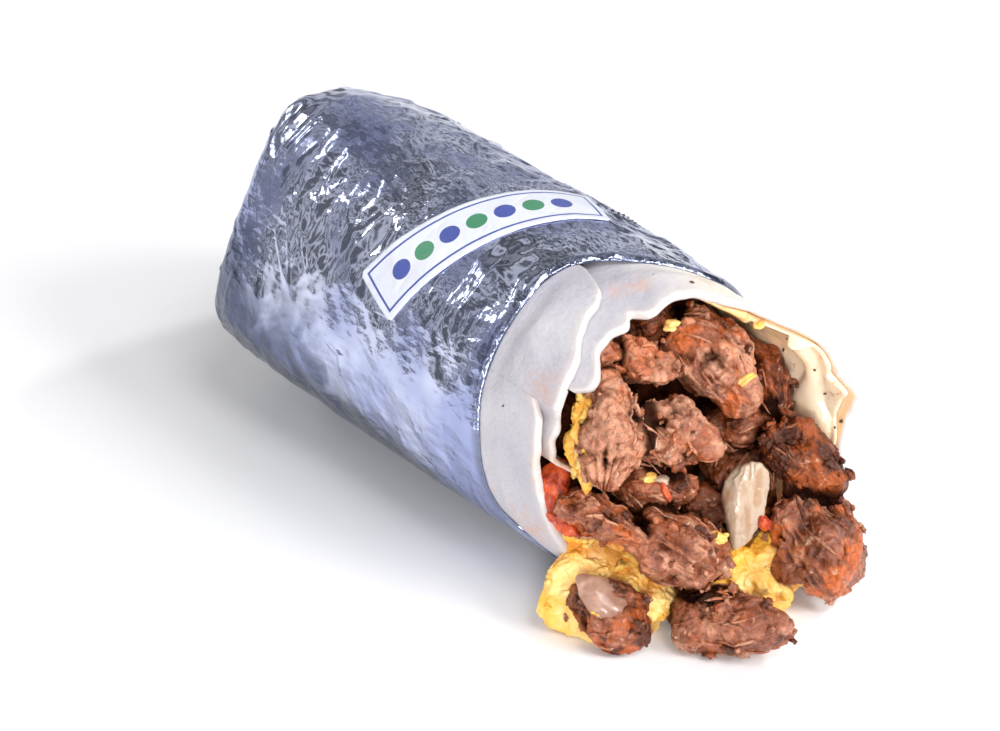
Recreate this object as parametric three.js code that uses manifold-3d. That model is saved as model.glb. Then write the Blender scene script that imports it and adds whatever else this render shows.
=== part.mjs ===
// A foil-wrapped breakfast burrito lying on its side, open at one end, with beef and scrambled egg
// spilling out. Millimetres, +Z up. The roll lies along Y with its open end towards -Y, and the origin is
// on the flat of its underside, below the middle of its length.
//
// Two directions describe every point of the roll: the angle round it, counted in degrees from +X by way
// of the top, and the distance along it, counted from the plane of the mouth towards the shut end.
import * as THREE from "three";
import { mergeVertices } from "three/addons/utils/BufferGeometryUtils.js";
import Module from "manifold-3d";

const wasm = await Module();
wasm.setup();

// The roll as wrapped: its radius runs in a parabola through these three, and its section goes from round
// at the mouth to a rounded square at the shut end. It sinks a little and lies on the flat strip that this
// makes.
const roll = {
  length: 142.7,
  mouthRadius: 37,
  middleRadius: 39.7,
  farRadius: 36.7,
  capLength: 12.1,
  capPower: 3,
  farPower: 3.465,
  squareTurn: -26.7,
  leanSideways: -0.182,
  leanUpwards: 0.105,
  farLift: 1,
  sink: 0.8,
};

// Neighbours keep a gap. A lump longer than fineSize takes the finer ball, and cut lumps are simplified by
// trim.
const gap = 0.35;
const trim = 0.12;
const fineSize = 11;

// The sheets. Offsets are measured from the face of the wrapped roll, inwards negative.
const foilWall = 0.9;
const tortillaWall = 2.2;
const tortillaUnderFoil = -foilWall - gap;
const tortillaBare = -0.3;
const overlapDrop = tortillaWall + gap;

// Where the foil ends, as [angle, distance along] round the roll.
const foilEdge = [
  [-100, 10], [-60, 8], [57, 8], [63, 9], [68, 11.5], [76, 14.5], [86, 18], [93, 22], [98, 24], [105, 27],
  [116, 28], [137, 27.5], [158, 27], [178, 25], [196, 24], [207, 22.5], [214, 19], [222, 11], [260, 10],
];

// Where the tortilla ends. It winds once and a bit round: from its inner end, tucked in at the upper left,
// over the top and down the right side, under the filling and up the left side to its outer end near the
// top.
const tear = -209;
const tearGap = 1;
const rimBeforeTear = [
  [142.5, 6], [138, 2], [134, 2], [131, 3.5], [125, 6.5], [117, 7], [110, 5], [104, 8], [101, 4.2], [92, 4.5],
  [83, 2.5], [75, 0.5], [69, -2.5], [58, -3.5], [48, -4.5], [41, -9.5], [36, -14.5], [28, -15.5], [19, -16],
  [16, -22.5], [8, -20.6], [0, -19.2], [-17, -19.4], [-28, -21], [-45, -16], [-65, -9], [-90, -3], [-115, 1],
  [-137, 4], [-153, 3], [-162, 3.6], [-167, 4.5], [-174, 6], [-181, 7], [-195, 8], [-203, 9], [-209, 12],
];
const rimAfterTear = [
  [-210, 5.4], [-219, 6.5], [-228, 8], [-236, 11], [-242, 13], [-249, 13.6], [-254, 15], [-258, 24.6],
];
const sheetDepth = 40;
const cupStart = 37;

// Below the tear the rim of the upper part tucks inwards and ends in a little hook.
const tongue = { from: 143, turnIn: 149, to: 178, drop: 3.4, hook: 4.5, depth: 12, wall: 1.9 };
const tongueRim = [[143, 6.4], [149, 5.6], [155, 6.4], [166, 7], [172, 6.6], [175, 4.5], [178, 0.5]];

// Foil creases as [pitch around, pitch along, phase], and how deep they press.
const creases = [[7.1, 11.3, 0], [9.7, -6.1, 1.3], [5.3, 17.9, 2.1]];
const creaseDepth = 0.29;

// The bare tortilla ripples round its rim and opens outwards at the right.
const ripple = { height: 0.35, count: 5, pitch: 9 };
const flare = { reach: 2.6, angle: 24, spread: 30, from: 4, to: -14 };

// The filling that packs the closed part of the roll, behind the loose pieces at the mouth.
const core = {
  drop: tortillaUnderFoil - tortillaWall - 1.3 * gap,
  narrowing: 4,
  topFront: 21,
  bottomFront: 4,
  bump: 1.6,
};

// The cheese sauce on the inside of the right wall.
const sauce = { from: -22.5, to: 75, front: 3, depth: 17, thin: 0.9, thick: 2.6, run: 6.5 };

// The label, a long strip laid slanting over the foil.
const label = {
  angle: 110,
  along: 55,
  halfLength: 31,
  halfWidth: 8.2,
  turn: 23,
  thickness: 0.3,
  corner: 1.2,
};

// The pieces of filling, front ones first. Each is a lump with half sizes a, b and c: a lies along a
// heading round Z and a pitch above the floor, and the third turn rolls the lump about it. The first word
// of its name is its kind.
const pieces = [
  { name: "onion", at: [4.4, -89.8, 26.4], half: [10.4, 4.6, 3.2], turn: [31, 59, 17], seed: 3 },
  { name: "beef_far_right", at: [20.4, -99, 14.6], half: [13.4, 11.6, 11.6], turn: [-71, -42, 48], seed: 11 },
  { name: "beef_floor_front", at: [-11, -101.4, 8.4], half: [12.8, 8.4, 8.2], turn: [-42, -3, 60], seed: 12 },
  { name: "beef_floor_left", at: [-26.6, -81, 8.2], half: [11.4, 8.6, 8], turn: [-55, -14, 57], seed: 13 },
  { name: "beef_lower", at: [-12.8, -88.6, 20.2], half: [14, 8, 8], turn: [-58, -28, 55], seed: 14 },
  { name: "beef_middle", at: [-8.3, -79.1, 44.6], half: [9.8, 8.2, 8], turn: [-67, -38, 51], seed: 15 },
  { name: "egg_front", at: [5.2, -92, 7.4], half: [10.8, 8.6, 6.6], turn: [-94, -50, 31], seed: 31 },
  { name: "beef_top", at: [12.6, -69.3, 52], half: [12.4, 10.4, 9], turn: [-71, -42, 48], seed: 16 },
  { name: "beef_left", at: [-20.4, -71.8, 49], half: [12.4, 8, 7], turn: [31, 59, 17], seed: 17 },
  { name: "beef_right", at: [22.2, -89.2, 31.4], half: [10.8, 7, 7.2], turn: [-64, -35, 52], seed: 18 },
  { name: "beef_long", at: [-27.6, -74.6, 30.2], half: [11.8, 4.4, 5.2], turn: [-51, -19, 58], seed: 19 },
  { name: "egg_floor", at: [-24.4, -77.2, 9.6], half: [16, 9.6, 8], turn: [-42, -10, 59], seed: 32 },
  { name: "egg_lip", at: [-24.4, -67.6, 22.2], half: [10.4, 5, 5.2], turn: [-53, -21, 58], seed: 33 },
  { name: "beef_onion_back", at: [17.4, -77.2, 22.4], half: [12.4, 9.4, 8.2], turn: [31, 59, 17], seed: 20 },
  { name: "beef_under_top", at: [18.4, -73.4, 36.4], half: [8.6, 6, 6.6], turn: [-35, 9, 60], seed: 21 },
  { name: "beef_centre_left", at: [-13, -74.6, 32], half: [10.4, 6.6, 7], turn: [-49, -16, 59], seed: 22 },
  { name: "beef_strip", at: [-7.4, -64.8, 57.6], half: [8.4, 5, 5.4], turn: [-44, -7, 60], seed: 23 },
  { name: "beef_back_right", at: [27, -75, 41.6], half: [12.6, 5.4, 5.4], turn: [-102, -57, 24], seed: 24 },
  { name: "beef_back_top", at: [2.6, -55.4, 61.6], half: [9.4, 6.8, 7], turn: [-32, 13, 59], seed: 25 },
  { name: "egg_left", at: [-24.6, -68.2, 47.2], half: [10.4, 4, 4.4], turn: [31, 59, 17], seed: 34 },
  { name: "beef_gap", at: [3.8, -76.4, 17.6], half: [7, 6, 6.4], turn: [-40, 0, 60], seed: 26 },
  { name: "beef_floor_small", at: [-10, -85.2, 5], half: [6.4, 4.8, 5.2], turn: [-45, -9, 60], seed: 27 },
  { name: "beef_back_left", at: [-15.4, -60.8, 60.6], half: [6, 4.6, 5], turn: [31, 59, 17], seed: 28 },
];

// A kind breaks with so many flat facets, and its bumps are this share of its size.
const kinds = {
  beef: { facets: 6, rough: 0.105 },
  egg: { facets: 3, rough: 0.14 },
  onion: { facets: 3, rough: 0.05 },
};
const facetNear = 0.62;
const facetSpread = 0.3;
const facetSharpness = 7;
const bumpCount = 7;
const swellToSize = 1.06;

const finish = {
  foil: { color: 0xaab0c4, roughness: 0.28, metalness: 0.95 },
  label: { color: 0xf2f3f6, roughness: 0.5, metalness: 0 },
  tortilla: { color: 0xf0ebe6, roughness: 0.75, metalness: 0 },
  filling: { color: 0x5d3222, roughness: 0.6, metalness: 0 },
  sauce: { color: 0xe6cfae, roughness: 0.25, metalness: 0 },
  beef: { color: 0x8a5341, roughness: 0.5, metalness: 0 },
  egg: { color: 0xf2b93a, roughness: 0.5, metalness: 0 },
  onion: { color: 0xe4d6c6, roughness: 0.35, metalness: 0 },
};

const mouthY = -roll.length / 2;
const degree = Math.PI / 180;

function ease(from, to, x) {
  const t = Math.min(Math.max((x - from) / (to - from), 0), 1);
  return t * t * (3 - 2 * t);
}

function blend(a, b, t) {
  return a + (b - a) * t;
}

// A curve through a short list of [position, value] that never swings past its points: it eases from each
// to the next. The list may run up or down.
function follow(list, position) {
  const down = list[0][0] > list[list.length - 1][0];
  const points = down ? [...list].reverse() : list;
  const last = points.length - 1;
  if (position <= points[0][0]) return points[0][1];
  for (let i = 0; i < last; i += 1) {
    const [a, valueA] = points[i];
    const [b, valueB] = points[i + 1];
    if (position <= b) {
      const share = (position - a) / (b - a);
      return blend(valueA, valueB, 0.5 * ease(a, b, position) + 0.5 * share);
    }
  }
  return points[last][1];
}

// The angle brought into the span from -100 to 260 degrees, which the foil's edge list covers.
function wrapAngle(angle) {
  return ((((angle + 100) % 360) + 360) % 360) - 100;
}

function foilFront(angle) {
  return follow(foilEdge, wrapAngle(angle));
}

// The rounded square of radius 1 at an angle in radians: power 2 is a circle.
function squareRadius(angle, power) {
  const turned = angle - roll.squareTurn * degree;
  return (Math.abs(Math.cos(turned)) ** power + Math.abs(Math.sin(turned)) ** power) ** (-1 / power);
}

// One section of the roll: its radius, its squareness and the height of its centre above the floor.
function section(along) {
  const s = Math.min(Math.max(along / roll.length, -0.25), 1);
  const fromMouth = roll.mouthRadius * (1 - s) * (1 - 2 * s);
  const fromFarEnd = roll.farRadius * s * (2 * s - 1);
  const parabola = fromMouth + roll.middleRadius * 4 * s * (1 - s) + fromFarEnd;
  const radius = s < 0 ? roll.mouthRadius : parabola;
  const power = blend(2, roll.farPower, ease(0.45, 1, s));
  let reach = 0;
  for (let k = 0; k < 72; k += 1) {
    const angle = (k / 72) * 2 * Math.PI;
    reach = Math.max(reach, -squareRadius(angle, power) * Math.sin(angle));
  }
  const lift = roll.farLift * ease(0.6, 1, s);
  return { s, radius, power, centre: radius * reach - roll.sink + lift };
}

// A point on a surface that lies offset outside the wrapped roll, or inside it where offset is negative. Past
// capStart the section shrinks to nothing along a superellipse, which makes the shut end.
const capStart = roll.length - roll.capLength;
function onRoll(angle, along, offset) {
  const { s, radius, power, centre } = section(along);
  const capReach = roll.capLength + offset;
  const c = Math.min(Math.max((along - capStart) / capReach, 0), 1);
  const shrink = (1 - c ** roll.capPower) ** (1 / roll.capPower);
  const reach = (radius + offset) * squareRadius(angle * degree, power) * shrink;
  const x = reach * Math.cos(angle * degree);
  const up = reach * Math.sin(angle * degree);
  const lean = (roll.leanSideways * x + roll.leanUpwards * up) * ease(0.5, 1, s);
  return [x, mouthY + along - lean, Math.max(centre + up, -offset)];
}

// Repeatable random numbers from 0 to 1.
function dice(seed) {
  let state = (seed * 2654435761) >>> 0;
  return () => {
    state = (Math.imul(state, 1664525) + 1013904223) >>> 0;
    return state / 4294967296;
  };
}

// Nested layers share one set of angles, so that their flat facets run side by side and never cross.
const column = 7.5;

// A closed solid from a row of rings. A ring of one point is a pole. Strip ends are closed by joining each
// point of the first and last ring to the one opposite, with a triangle where the ring has a nose point
// left over.
function skin(rings, stripEnds = false) {
  const points = [];
  const faces = [];
  const starts = rings.map((ring) => {
    const start = points.length / 3;
    ring.forEach((point) => points.push(...point));
    return start;
  });
  for (let r = 0; r + 1 < rings.length; r += 1) {
    const [a, b] = [starts[r], starts[r + 1]];
    const [n, m] = [rings[r].length, rings[r + 1].length];
    const count = Math.max(n, m);
    for (let i = 0; i < count; i += 1) {
      const j = (i + 1) % count;
      if (n > 1) faces.push(a + i, a + j, b + (m > 1 ? j : 0));
      if (m > 1) faces.push(a + (n > 1 ? i : 0), b + j, b + i);
    }
  }
  if (stripEnds) {
    const n = rings[0].length - (rings[0].length % 2);
    [starts[0], starts[starts.length - 1]].forEach((start, end) => {
      const add = (a, b, c) => {
        const [second, third] = end === 0 ? [c, b] : [b, c];
        faces.push(start + a, start + second, start + third);
      };
      for (let i = 0; i < n / 2 - 1; i += 1) {
        add(i, i + 1, n - 2 - i);
        add(i, n - 2 - i, n - 1 - i);
      }
      if (rings[0].length > n) add(n - 1, n, 0);
    });
  }
  return solid(new Float32Array(points), new Uint32Array(faces));
}

function solid(vertProperties, triVerts) {
  let made = new wasm.Manifold(new wasm.Mesh({ numProp: 3, vertProperties, triVerts }));
  if (made.volume() < 0) {
    const turned = triVerts.slice().reverse();
    made = new wasm.Manifold(new wasm.Mesh({ numProp: 3, vertProperties, triVerts: turned }));
  }
  return made;
}

function solidFromGeometry(geometry) {
  const loose = geometry.index ? geometry.toNonIndexed() : geometry;
  const bare = new THREE.BufferGeometry().setAttribute("position", loose.getAttribute("position"));
  const merged = mergeVertices(bare, 1e-4);
  return solid(merged.getAttribute("position").array, new Uint32Array(merged.index.array));
}

function evenly(count, from, to) {
  return Array.from({ length: count }, (_, i) => blend(from, to, i / (count - 1)));
}

// Distances along the roll that crowd together round the shut end's corner, up to the pole.
function capSteps(count, offset) {
  const turns = evenly(count, 0, 90).slice(1, -1);
  return turns.map((turn) => capStart + (roll.capLength + offset) * Math.sin(turn * degree));
}

// The dents of the crumpled foil: slanting creases that cross one another, flat under the roll and the label.
function dent(angle, along) {
  const around = angle * degree * roll.middleRadius;
  const fold = ([a, b, phase]) => Math.abs(Math.sin(around / a + along / b + phase));
  const folded = creases.reduce((sum, crease) => sum + fold(crease), 0);
  const underneath = Math.min(Math.abs(wrapAngle(angle) + 90), Math.abs(wrapAngle(angle) - 270));
  const clearOfFloor = ease(28, 48, underneath);
  const { across, up } = onLabel(angle, along);
  const clearOfLabel = Math.max(
    ease(label.halfLength, label.halfLength + 5, Math.abs(across)),
    ease(label.halfWidth, label.halfWidth + 5, Math.abs(up)),
  );
  return creaseDepth * (folded - 1.9) * clearOfFloor * clearOfLabel;
}

function roundTheRoll(step) {
  return Array.from({ length: 360 / step }, (_, i) => i * step);
}

function foilWrap() {
  const angles = roundTheRoll(column);
  const ring = (steps, offset, dented) =>
    steps.map((step) =>
      angles.map((angle) => {
        const along = typeof step === "number" ? step : blend(foilFront(angle), step.to, step.share);
        return onRoll(angle, along, offset + (dented ? dent(angle, along) : 0));
      }),
    );
  const front = (count, to) => evenly(count, 0, 1).slice(0, -1).map((share) => ({ share, to }));
  const outerSteps = [...front(5, 42), ...evenly(9, 42, capStart), ...capSteps(7, 0)];
  const innerSteps = [...front(3, 42), ...evenly(4, 42, capStart), ...capSteps(5, -foilWall)];
  const outside = ring(outerSteps, 0, true);
  const inside = ring(innerSteps, -foilWall, false);
  const outerPole = [onRoll(0, roll.length, 0)];
  const innerPole = [onRoll(0, roll.length - foilWall, -foilWall)];
  return skin([outerPole, ...outside.reverse(), ...inside, innerPole]);
}

// Places on the label: across runs along the strip and up across it, both in millimetres from its middle.
function onLabel(angle, along) {
  const around = (label.angle - angle) * degree * roll.middleRadius;
  const forward = along - label.along;
  const [c, s] = [Math.cos(label.turn * degree), Math.sin(label.turn * degree)];
  return { across: around * c - forward * s, up: around * s + forward * c };
}

function labelStrip() {
  const [c, s] = [Math.cos(label.turn * degree), Math.sin(label.turn * degree)];
  const point = (across, up, offset) => {
    const around = across * c + up * s;
    const forward = up * c - across * s;
    return onRoll(label.angle - around / (degree * roll.middleRadius), label.along + forward, offset);
  };
  const rings = evenly(15, -label.halfLength, label.halfLength).map((across) => {
    const inFromEnd = label.halfLength - Math.abs(across);
    const half = label.halfWidth - label.corner * (1 - ease(0, label.corner, inFromEnd));
    const ups = evenly(4, -half, half);
    const lower = ups.map((up) => point(across, up, gap));
    const upper = ups.map((up) => point(across, up, gap + label.thickness)).reverse();
    return [...lower, ...upper];
  });
  return skin(rings, true);
}

// How far the tortilla's outer face lies from the wrapped roll. It hugs the foil from inside, swells out
// once it is clear of it, and lies one sheet lower where it is tucked under its own outer end.
function tortillaOffset(angle, along, under) {
  const clear = ease(2, 7, foilFront(angle) - along);
  const wave = ripple.height * clear * Math.sin(angle * degree * ripple.count + along / ripple.pitch);
  const bell = Math.exp(-(((angle - flare.angle) / flare.spread) ** 2));
  const opened = flare.reach * bell * (1 - ease(flare.to, flare.from, along));
  return blend(tortillaUnderFoil, tortillaBare - ripple.height, clear) + wave + opened - overlapDrop * under;
}

function rim(angle) {
  return angle < tear ? follow(rimAfterTear, angle) : follow(rimBeforeTear, angle);
}

// A sheet wound round the roll. At each angle a ring goes down the outer face from the front edge, in even
// rows as far as the shoulder, to the back, returns up the inner face and ends on the rounded nose of the
// edge. grow thickens the sheet all round, for cutting its neighbours clear.
function sheet(angles, { front, shoulder, back, outer, inner, rows = 4 }, grow = 0) {
  const rings = angles.map((angle) => {
    const start = front(angle) - grow;
    const steps = [...evenly(rows, start, Math.max(shoulder(angle), start + 1)), back + grow];
    const outside = steps.map((along) => onRoll(angle, along, outer(angle, along) + grow));
    const inside = steps.map((along) => onRoll(angle, along, inner(angle, along) - grow)).reverse();
    const [top, bottom] = [outer(angle, start), inner(angle, start)];
    const nose = onRoll(angle, start - 0.28 * (top - bottom), (top + bottom) / 2);
    return [...outside, ...inside, nose];
  });
  return skin(rings, true);
}

// The front of the tortilla, with its overlap, and the tongue that tucks in below the tear.
function tortillaFront(grow) {
  const under = (angle) => ease(82, 101, angle);
  const outer = (angle, along) => tortillaOffset(angle, along, under(angle));
  const [innerEnd, outerEnd] = [rimBeforeTear[0][0], rimAfterTear[rimAfterTear.length - 1][0]];
  const before = evenly(47, innerEnd, innerEnd - 46 * column);
  const after = evenly(6, before[46] - 2 * column, before[46] - 7 * column);
  const angles = [...before, tear, tear - tearGap, ...after, outerEnd];
  const wound = sheet(angles, {
    front: rim,
    shoulder: (angle) => foilFront(angle) - 1.5,
    back: sheetDepth,
    outer,
    inner: (angle, along) => outer(angle, along) - tortillaWall,
  }, grow);

  const { from, turnIn, to, drop, hook, depth, wall } = tongue;
  const sunk = (angle) =>
    0.15 + drop * ease(turnIn, turnIn + 9, angle) + 0.3 * drop * ease(turnIn + 9, to, angle)
    + hook * ease(to - 6, to + 1, angle);
  const tongueOuter = (angle, along) => tortillaOffset(angle, along, 0) - sunk(angle);
  const tucked = sheet(evenly(10, from, to), {
    front: (angle) => follow(tongueRim, angle),
    shoulder: () => depth - 3,
    back: depth,
    outer: tongueOuter,
    inner: (angle, along) => tongueOuter(angle, along) - wall,
    rows: 3,
  }, grow);
  return wound.add(tucked);
}

// The rest of the tortilla is a cup inside the foil, shut at the far end.
function tortillaBack(grow) {
  const angles = roundTheRoll(2 * column);
  const rings = (steps, offset) => steps.map((along) => angles.map((angle) => onRoll(angle, along, offset)));
  const outside = tortillaUnderFoil + grow;
  const inside = tortillaUnderFoil - tortillaWall - grow;
  const body = evenly(4, cupStart - grow, capStart);
  return skin([
    [onRoll(0, roll.length + outside, outside)],
    ...rings([...body, ...capSteps(5, outside)], outside).reverse(),
    ...rings([...body, ...capSteps(5, inside)], inside),
    [onRoll(0, roll.length + inside, inside)],
  ]);
}

function tortilla(grow = 0) {
  return tortillaFront(grow).add(tortillaBack(grow));
}

// A point inside the roll: share 1 is on the surface at that offset and 0 is on its middle line.
function inRoll(angle, along, offset, share) {
  const [x, y, z] = onRoll(angle, along, offset);
  const { centre } = section(along);
  return [x * share, y, blend(centre, z, share)];
}

// The packed filling: a plug with a lumpy front face that leans back towards the top.
function fillingCore(grow = 0) {
  const angles = roundTheRoll(2 * column);
  const wide = core.drop;
  const narrow = core.drop - core.narrowing;
  const offset = (along) => blend(narrow, wide, ease(sheetDepth + 1, sheetDepth + 5, along)) + grow;
  const face = [0.3, 0.6, 0.85, 1].map((share) =>
    angles.map((angle) => {
      const height = (1 + share * Math.sin(angle * degree)) / 2;
      const lumps = Math.sin(angle * degree * 4 + share * 5) * Math.cos(share * 9 + angle * degree * 3);
      const along = blend(core.bottomFront, core.topFront, height) + core.bump * lumps + 3 * share ** 4;
      return inRoll(angle, along - grow, offset(along), share);
    }),
  );
  const body = [30, sheetDepth + 1, sheetDepth + 5, 75, 103, capStart].map((along) =>
    angles.map((angle) => onRoll(angle, along, offset(along))),
  );
  const middle = (core.bottomFront + core.topFront) / 2;
  const back = capSteps(5, wide).map((along) => angles.map((angle) => onRoll(angle, along, wide + grow)));
  const frontPole = inRoll(0, middle - grow, wide, 0);
  const backPole = onRoll(0, roll.length + wide + grow, wide + grow);
  return skin([[frontPole], ...face, ...body, ...back, [backPole]]);
}

// Cheese sauce clinging to the inside of the right wall, thickest where it has run down.
function cheeseSauce(grow = 0) {
  const outer = (angle, along) => tortillaOffset(angle, along, ease(82, 101, angle)) - tortillaWall - 2 * gap;
  const fade = (angle) =>
    Math.min(ease(sauce.from - 2, sauce.from + 14, angle), 1 - ease(sauce.to - 16, sauce.to + 2, angle));
  const depth = (angle, along) =>
    sauce.thin + sauce.thick * fade(angle) * (0.55 + 0.45 * Math.sin(angle / 7 + along / sauce.run));
  return sheet(evenly(14, sauce.from, sauce.to), {
    front: (angle) => rim(angle) + sauce.front + 1.2 * Math.sin(angle / 5.5),
    shoulder: () => foilFront(0) - 1.5,
    back: sauce.depth,
    outer,
    inner: (angle, along) => outer(angle, along) - depth(angle, along),
  }, grow);
}

function randomDirection(next) {
  const up = 2 * next() - 1;
  const turn = 2 * Math.PI * next();
  const level = Math.sqrt(1 - up * up);
  return [level * Math.cos(turn), level * Math.sin(turn), up];
}

const dot = (a, b) => a[0] * b[0] + a[1] * b[1] + a[2] * b[2];

// The radius of a lump of size 1 in every direction: a ball cut by flat facets, blended softly, times slow
// bumps.
function lumpShape(seed, { facets, rough }) {
  const next = dice(seed);
  const planes = Array.from({ length: facets }, () => ({
    normal: randomDirection(next),
    away: facetNear + facetSpread * next(),
  }));
  const bumps = Array.from({ length: bumpCount }, (_, i) => ({
    wave: randomDirection(next).map((part) => part * (2.5 + 1.1 * i)),
    phase: 2 * Math.PI * next(),
    height: rough / (1 + 0.35 * i),
  }));
  return (direction) => {
    const cut = ({ normal, away }) => (Math.max(dot(direction, normal), 0) / away) ** facetSharpness;
    const swell = ({ wave, phase, height }) => height * Math.sin(dot(direction, wave) + phase);
    const inverse = planes.reduce((sum, plane) => sum + cut(plane), 1);
    return swellToSize * inverse ** (-1 / facetSharpness) * bumps.reduce((sum, bump) => sum + swell(bump), 1);
  };
}

function kindOf(piece) {
  return piece.name.split("_")[0];
}

function lump(piece, grow = 0) {
  const shape = lumpShape(piece.seed, kinds[kindOf(piece)]);
  const ball = new THREE.IcosahedronGeometry(1, piece.half[0] > fineSize ? 3 : 2);
  const spots = ball.getAttribute("position");
  const [heading, pitch, turn] = piece.turn.map((angle) => angle * degree);
  const flat = new THREE.Vector3(Math.cos(heading), Math.sin(heading), 0);
  const ahead = flat.clone().multiplyScalar(Math.cos(pitch)).setZ(Math.sin(pitch));
  const level = new THREE.Vector3(-flat.y, flat.x, 0);
  const above = new THREE.Vector3().crossVectors(ahead, level);
  const side = level.clone().multiplyScalar(Math.cos(turn)).addScaledVector(above, Math.sin(turn));
  const top = new THREE.Vector3().crossVectors(ahead, side);
  const place = new THREE.Matrix4().makeBasis(ahead, side, top).setPosition(...piece.at);
  const point = new THREE.Vector3();
  for (let i = 0; i < spots.count; i += 1) {
    point.fromBufferAttribute(spots, i).normalize();
    const reach = shape(point.toArray());
    point.set(...point.toArray().map((part, axis) => part * reach * piece.half[axis]));
    point.multiplyScalar(1 + grow / point.length());
    point.applyMatrix4(place);
    spots.setXYZ(i, point.x, point.y, point.z);
  }
  return solidFromGeometry(ball);
}

function largest(made) {
  return made.decompose().reduce((best, body) => (body.volume() > best.volume() ? body : best));
}

// Each piece of filling gives way to the pieces in front of it, to the tortilla, the sauce and the packed
// filling, and to the surface that the burrito lies on.
function loosePieces() {
  const clear = gap * 1.25;
  const table = new THREE.BoxGeometry(300, 300, 100).translate(0, 0, -50);
  const cutters = [solidFromGeometry(table), tortilla(clear), cheeseSauce(clear), fillingCore(clear)];
  return pieces.map((piece) => {
    const cut = cutters.reduce((left, cutter) => left.subtract(cutter), lump(piece));
    cutters.push(lump(piece, clear));
    return [piece.name, largest(cut).simplify(trim), finish[kindOf(piece)]];
  });
}

function mesh(name, made, look) {
  const { vertProperties, triVerts } = made.getMesh();
  const geometry = new THREE.BufferGeometry();
  geometry.setAttribute("position", new THREE.BufferAttribute(new Float32Array(vertProperties), 3));
  geometry.setIndex(new THREE.BufferAttribute(new Uint32Array(triVerts), 1));
  geometry.computeVertexNormals();
  const node = new THREE.Mesh(geometry, new THREE.MeshStandardMaterial(look));
  node.name = name;
  return node;
}

const group = new THREE.Group();
group.add(mesh("foil_wrap", foilWrap(), finish.foil));
group.add(mesh("label", labelStrip(), finish.label));
group.add(mesh("tortilla", tortilla(), finish.tortilla));
group.add(mesh("packed_filling", fillingCore(), finish.filling));
group.add(mesh("cheese_sauce", cheeseSauce(), finish.sauce));
loosePieces().forEach(([name, made, look]) => group.add(mesh(name, made, look)));

export default group;
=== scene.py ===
# Dresses the foil-wrapped burrito: crumpled foil, label, flour tortilla, beef, egg and cheese sauce.
# Shapes are worked out in millimetres as (angle round the roll, distance along it, offset from its face).
import math
from itertools import product

import bpy
import numpy as np
from mathutils import Matrix


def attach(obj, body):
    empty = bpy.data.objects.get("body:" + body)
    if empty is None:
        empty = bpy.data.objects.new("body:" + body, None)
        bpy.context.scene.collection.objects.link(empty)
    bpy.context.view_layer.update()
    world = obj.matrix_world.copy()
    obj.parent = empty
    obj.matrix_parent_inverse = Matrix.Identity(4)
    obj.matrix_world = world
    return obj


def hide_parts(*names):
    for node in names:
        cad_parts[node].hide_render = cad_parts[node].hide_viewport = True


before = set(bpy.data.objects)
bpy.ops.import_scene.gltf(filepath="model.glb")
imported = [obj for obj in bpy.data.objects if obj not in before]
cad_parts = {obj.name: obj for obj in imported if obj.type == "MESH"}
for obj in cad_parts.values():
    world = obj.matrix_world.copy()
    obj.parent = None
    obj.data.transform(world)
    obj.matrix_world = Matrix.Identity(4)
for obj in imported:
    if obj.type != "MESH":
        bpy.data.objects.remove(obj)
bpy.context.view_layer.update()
print("frame loaded:", len(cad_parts), "nodes")

degree = math.pi / 180
millimetre = 0.001
joined = np.concatenate
scatterer = {  # whole numbers that mix the bits of a cell's place
    "cell": np.array([73856093, 19349663, 83492791]), "seed": 2654435761,
    "bits": 0xFFFFFFFF, "fineBits": 0xFFFFFF,
    "rounds": [[15, 2246822519], [13, 3266489917]],
}
dicePace = {"times": 1664525, "plus": 1013904223, "range": 4294967296}
skewIn, skewOut = (math.sqrt(3) - 1) / 2, (3 - math.sqrt(3)) / 6  # square lattice to triangles and back


def ease(start, stop, x):  # 0 before start, 1 after stop, a smooth cubic between
    t = np.clip((x - start) / (stop - start), 0, 1)
    return t * t * (3 - 2 * t)


def blend(a, b, t):  # a where t is 0, b where t is 1, straight between
    return a + (b - a) * t


def unit(vectors):  # vectors of length 1
    return vectors / np.linalg.norm(vectors, axis=-1, keepdims=True)


def circle(count, full=360):  # evenly spaced angles all the way round
    return np.arange(count) / count * full


def follow(knots, x):  # a curve through [position, value] knots, half eased and half straight
    knots = np.array(sorted(knots), float)
    x = np.clip(np.asarray(x, float), knots[0, 0], knots[-1, 0])
    i = np.clip(np.searchsorted(knots[:, 0], x, side="left") - 1, 0, len(knots) - 2)
    a, b = knots[i], knots[i + 1]
    share = (x - a[..., 0]) / (b[..., 0] - a[..., 0])
    return blend(a[..., 1], b[..., 1], 0.5 * share + 0.5 * ease(0, 1, share))


def scramble(cell, seed):  # a repeatable number from 0 to 1 for each whole-numbered cell
    h = np.bitwise_xor.reduce(cell.astype(np.int64) * scatterer["cell"], axis=-1)
    h = (h ^ (seed * scatterer["seed"])) & scatterer["bits"]
    for shift, factor in scatterer["rounds"]:
        h = ((h ^ (h >> shift)) * factor) & scatterer["bits"]
    return ((h ^ (h >> 16)) & scatterer["fineBits"]) / scatterer["fineBits"]


def softNoise(points, size, seed):  # values from -1 to 1 at cell corners, blended by a smooth cubic
    p = points / size
    cell = np.floor(p)
    t = p - cell
    t = t * t * (3 - 2 * t)
    total = 0
    for corner in product((0, 1), repeat=3):
        weight = np.prod(np.abs(1 - np.array(corner) - t), axis=-1)
        total = total + weight * scramble(cell + corner, seed)
    return 2 * total - 1


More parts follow.
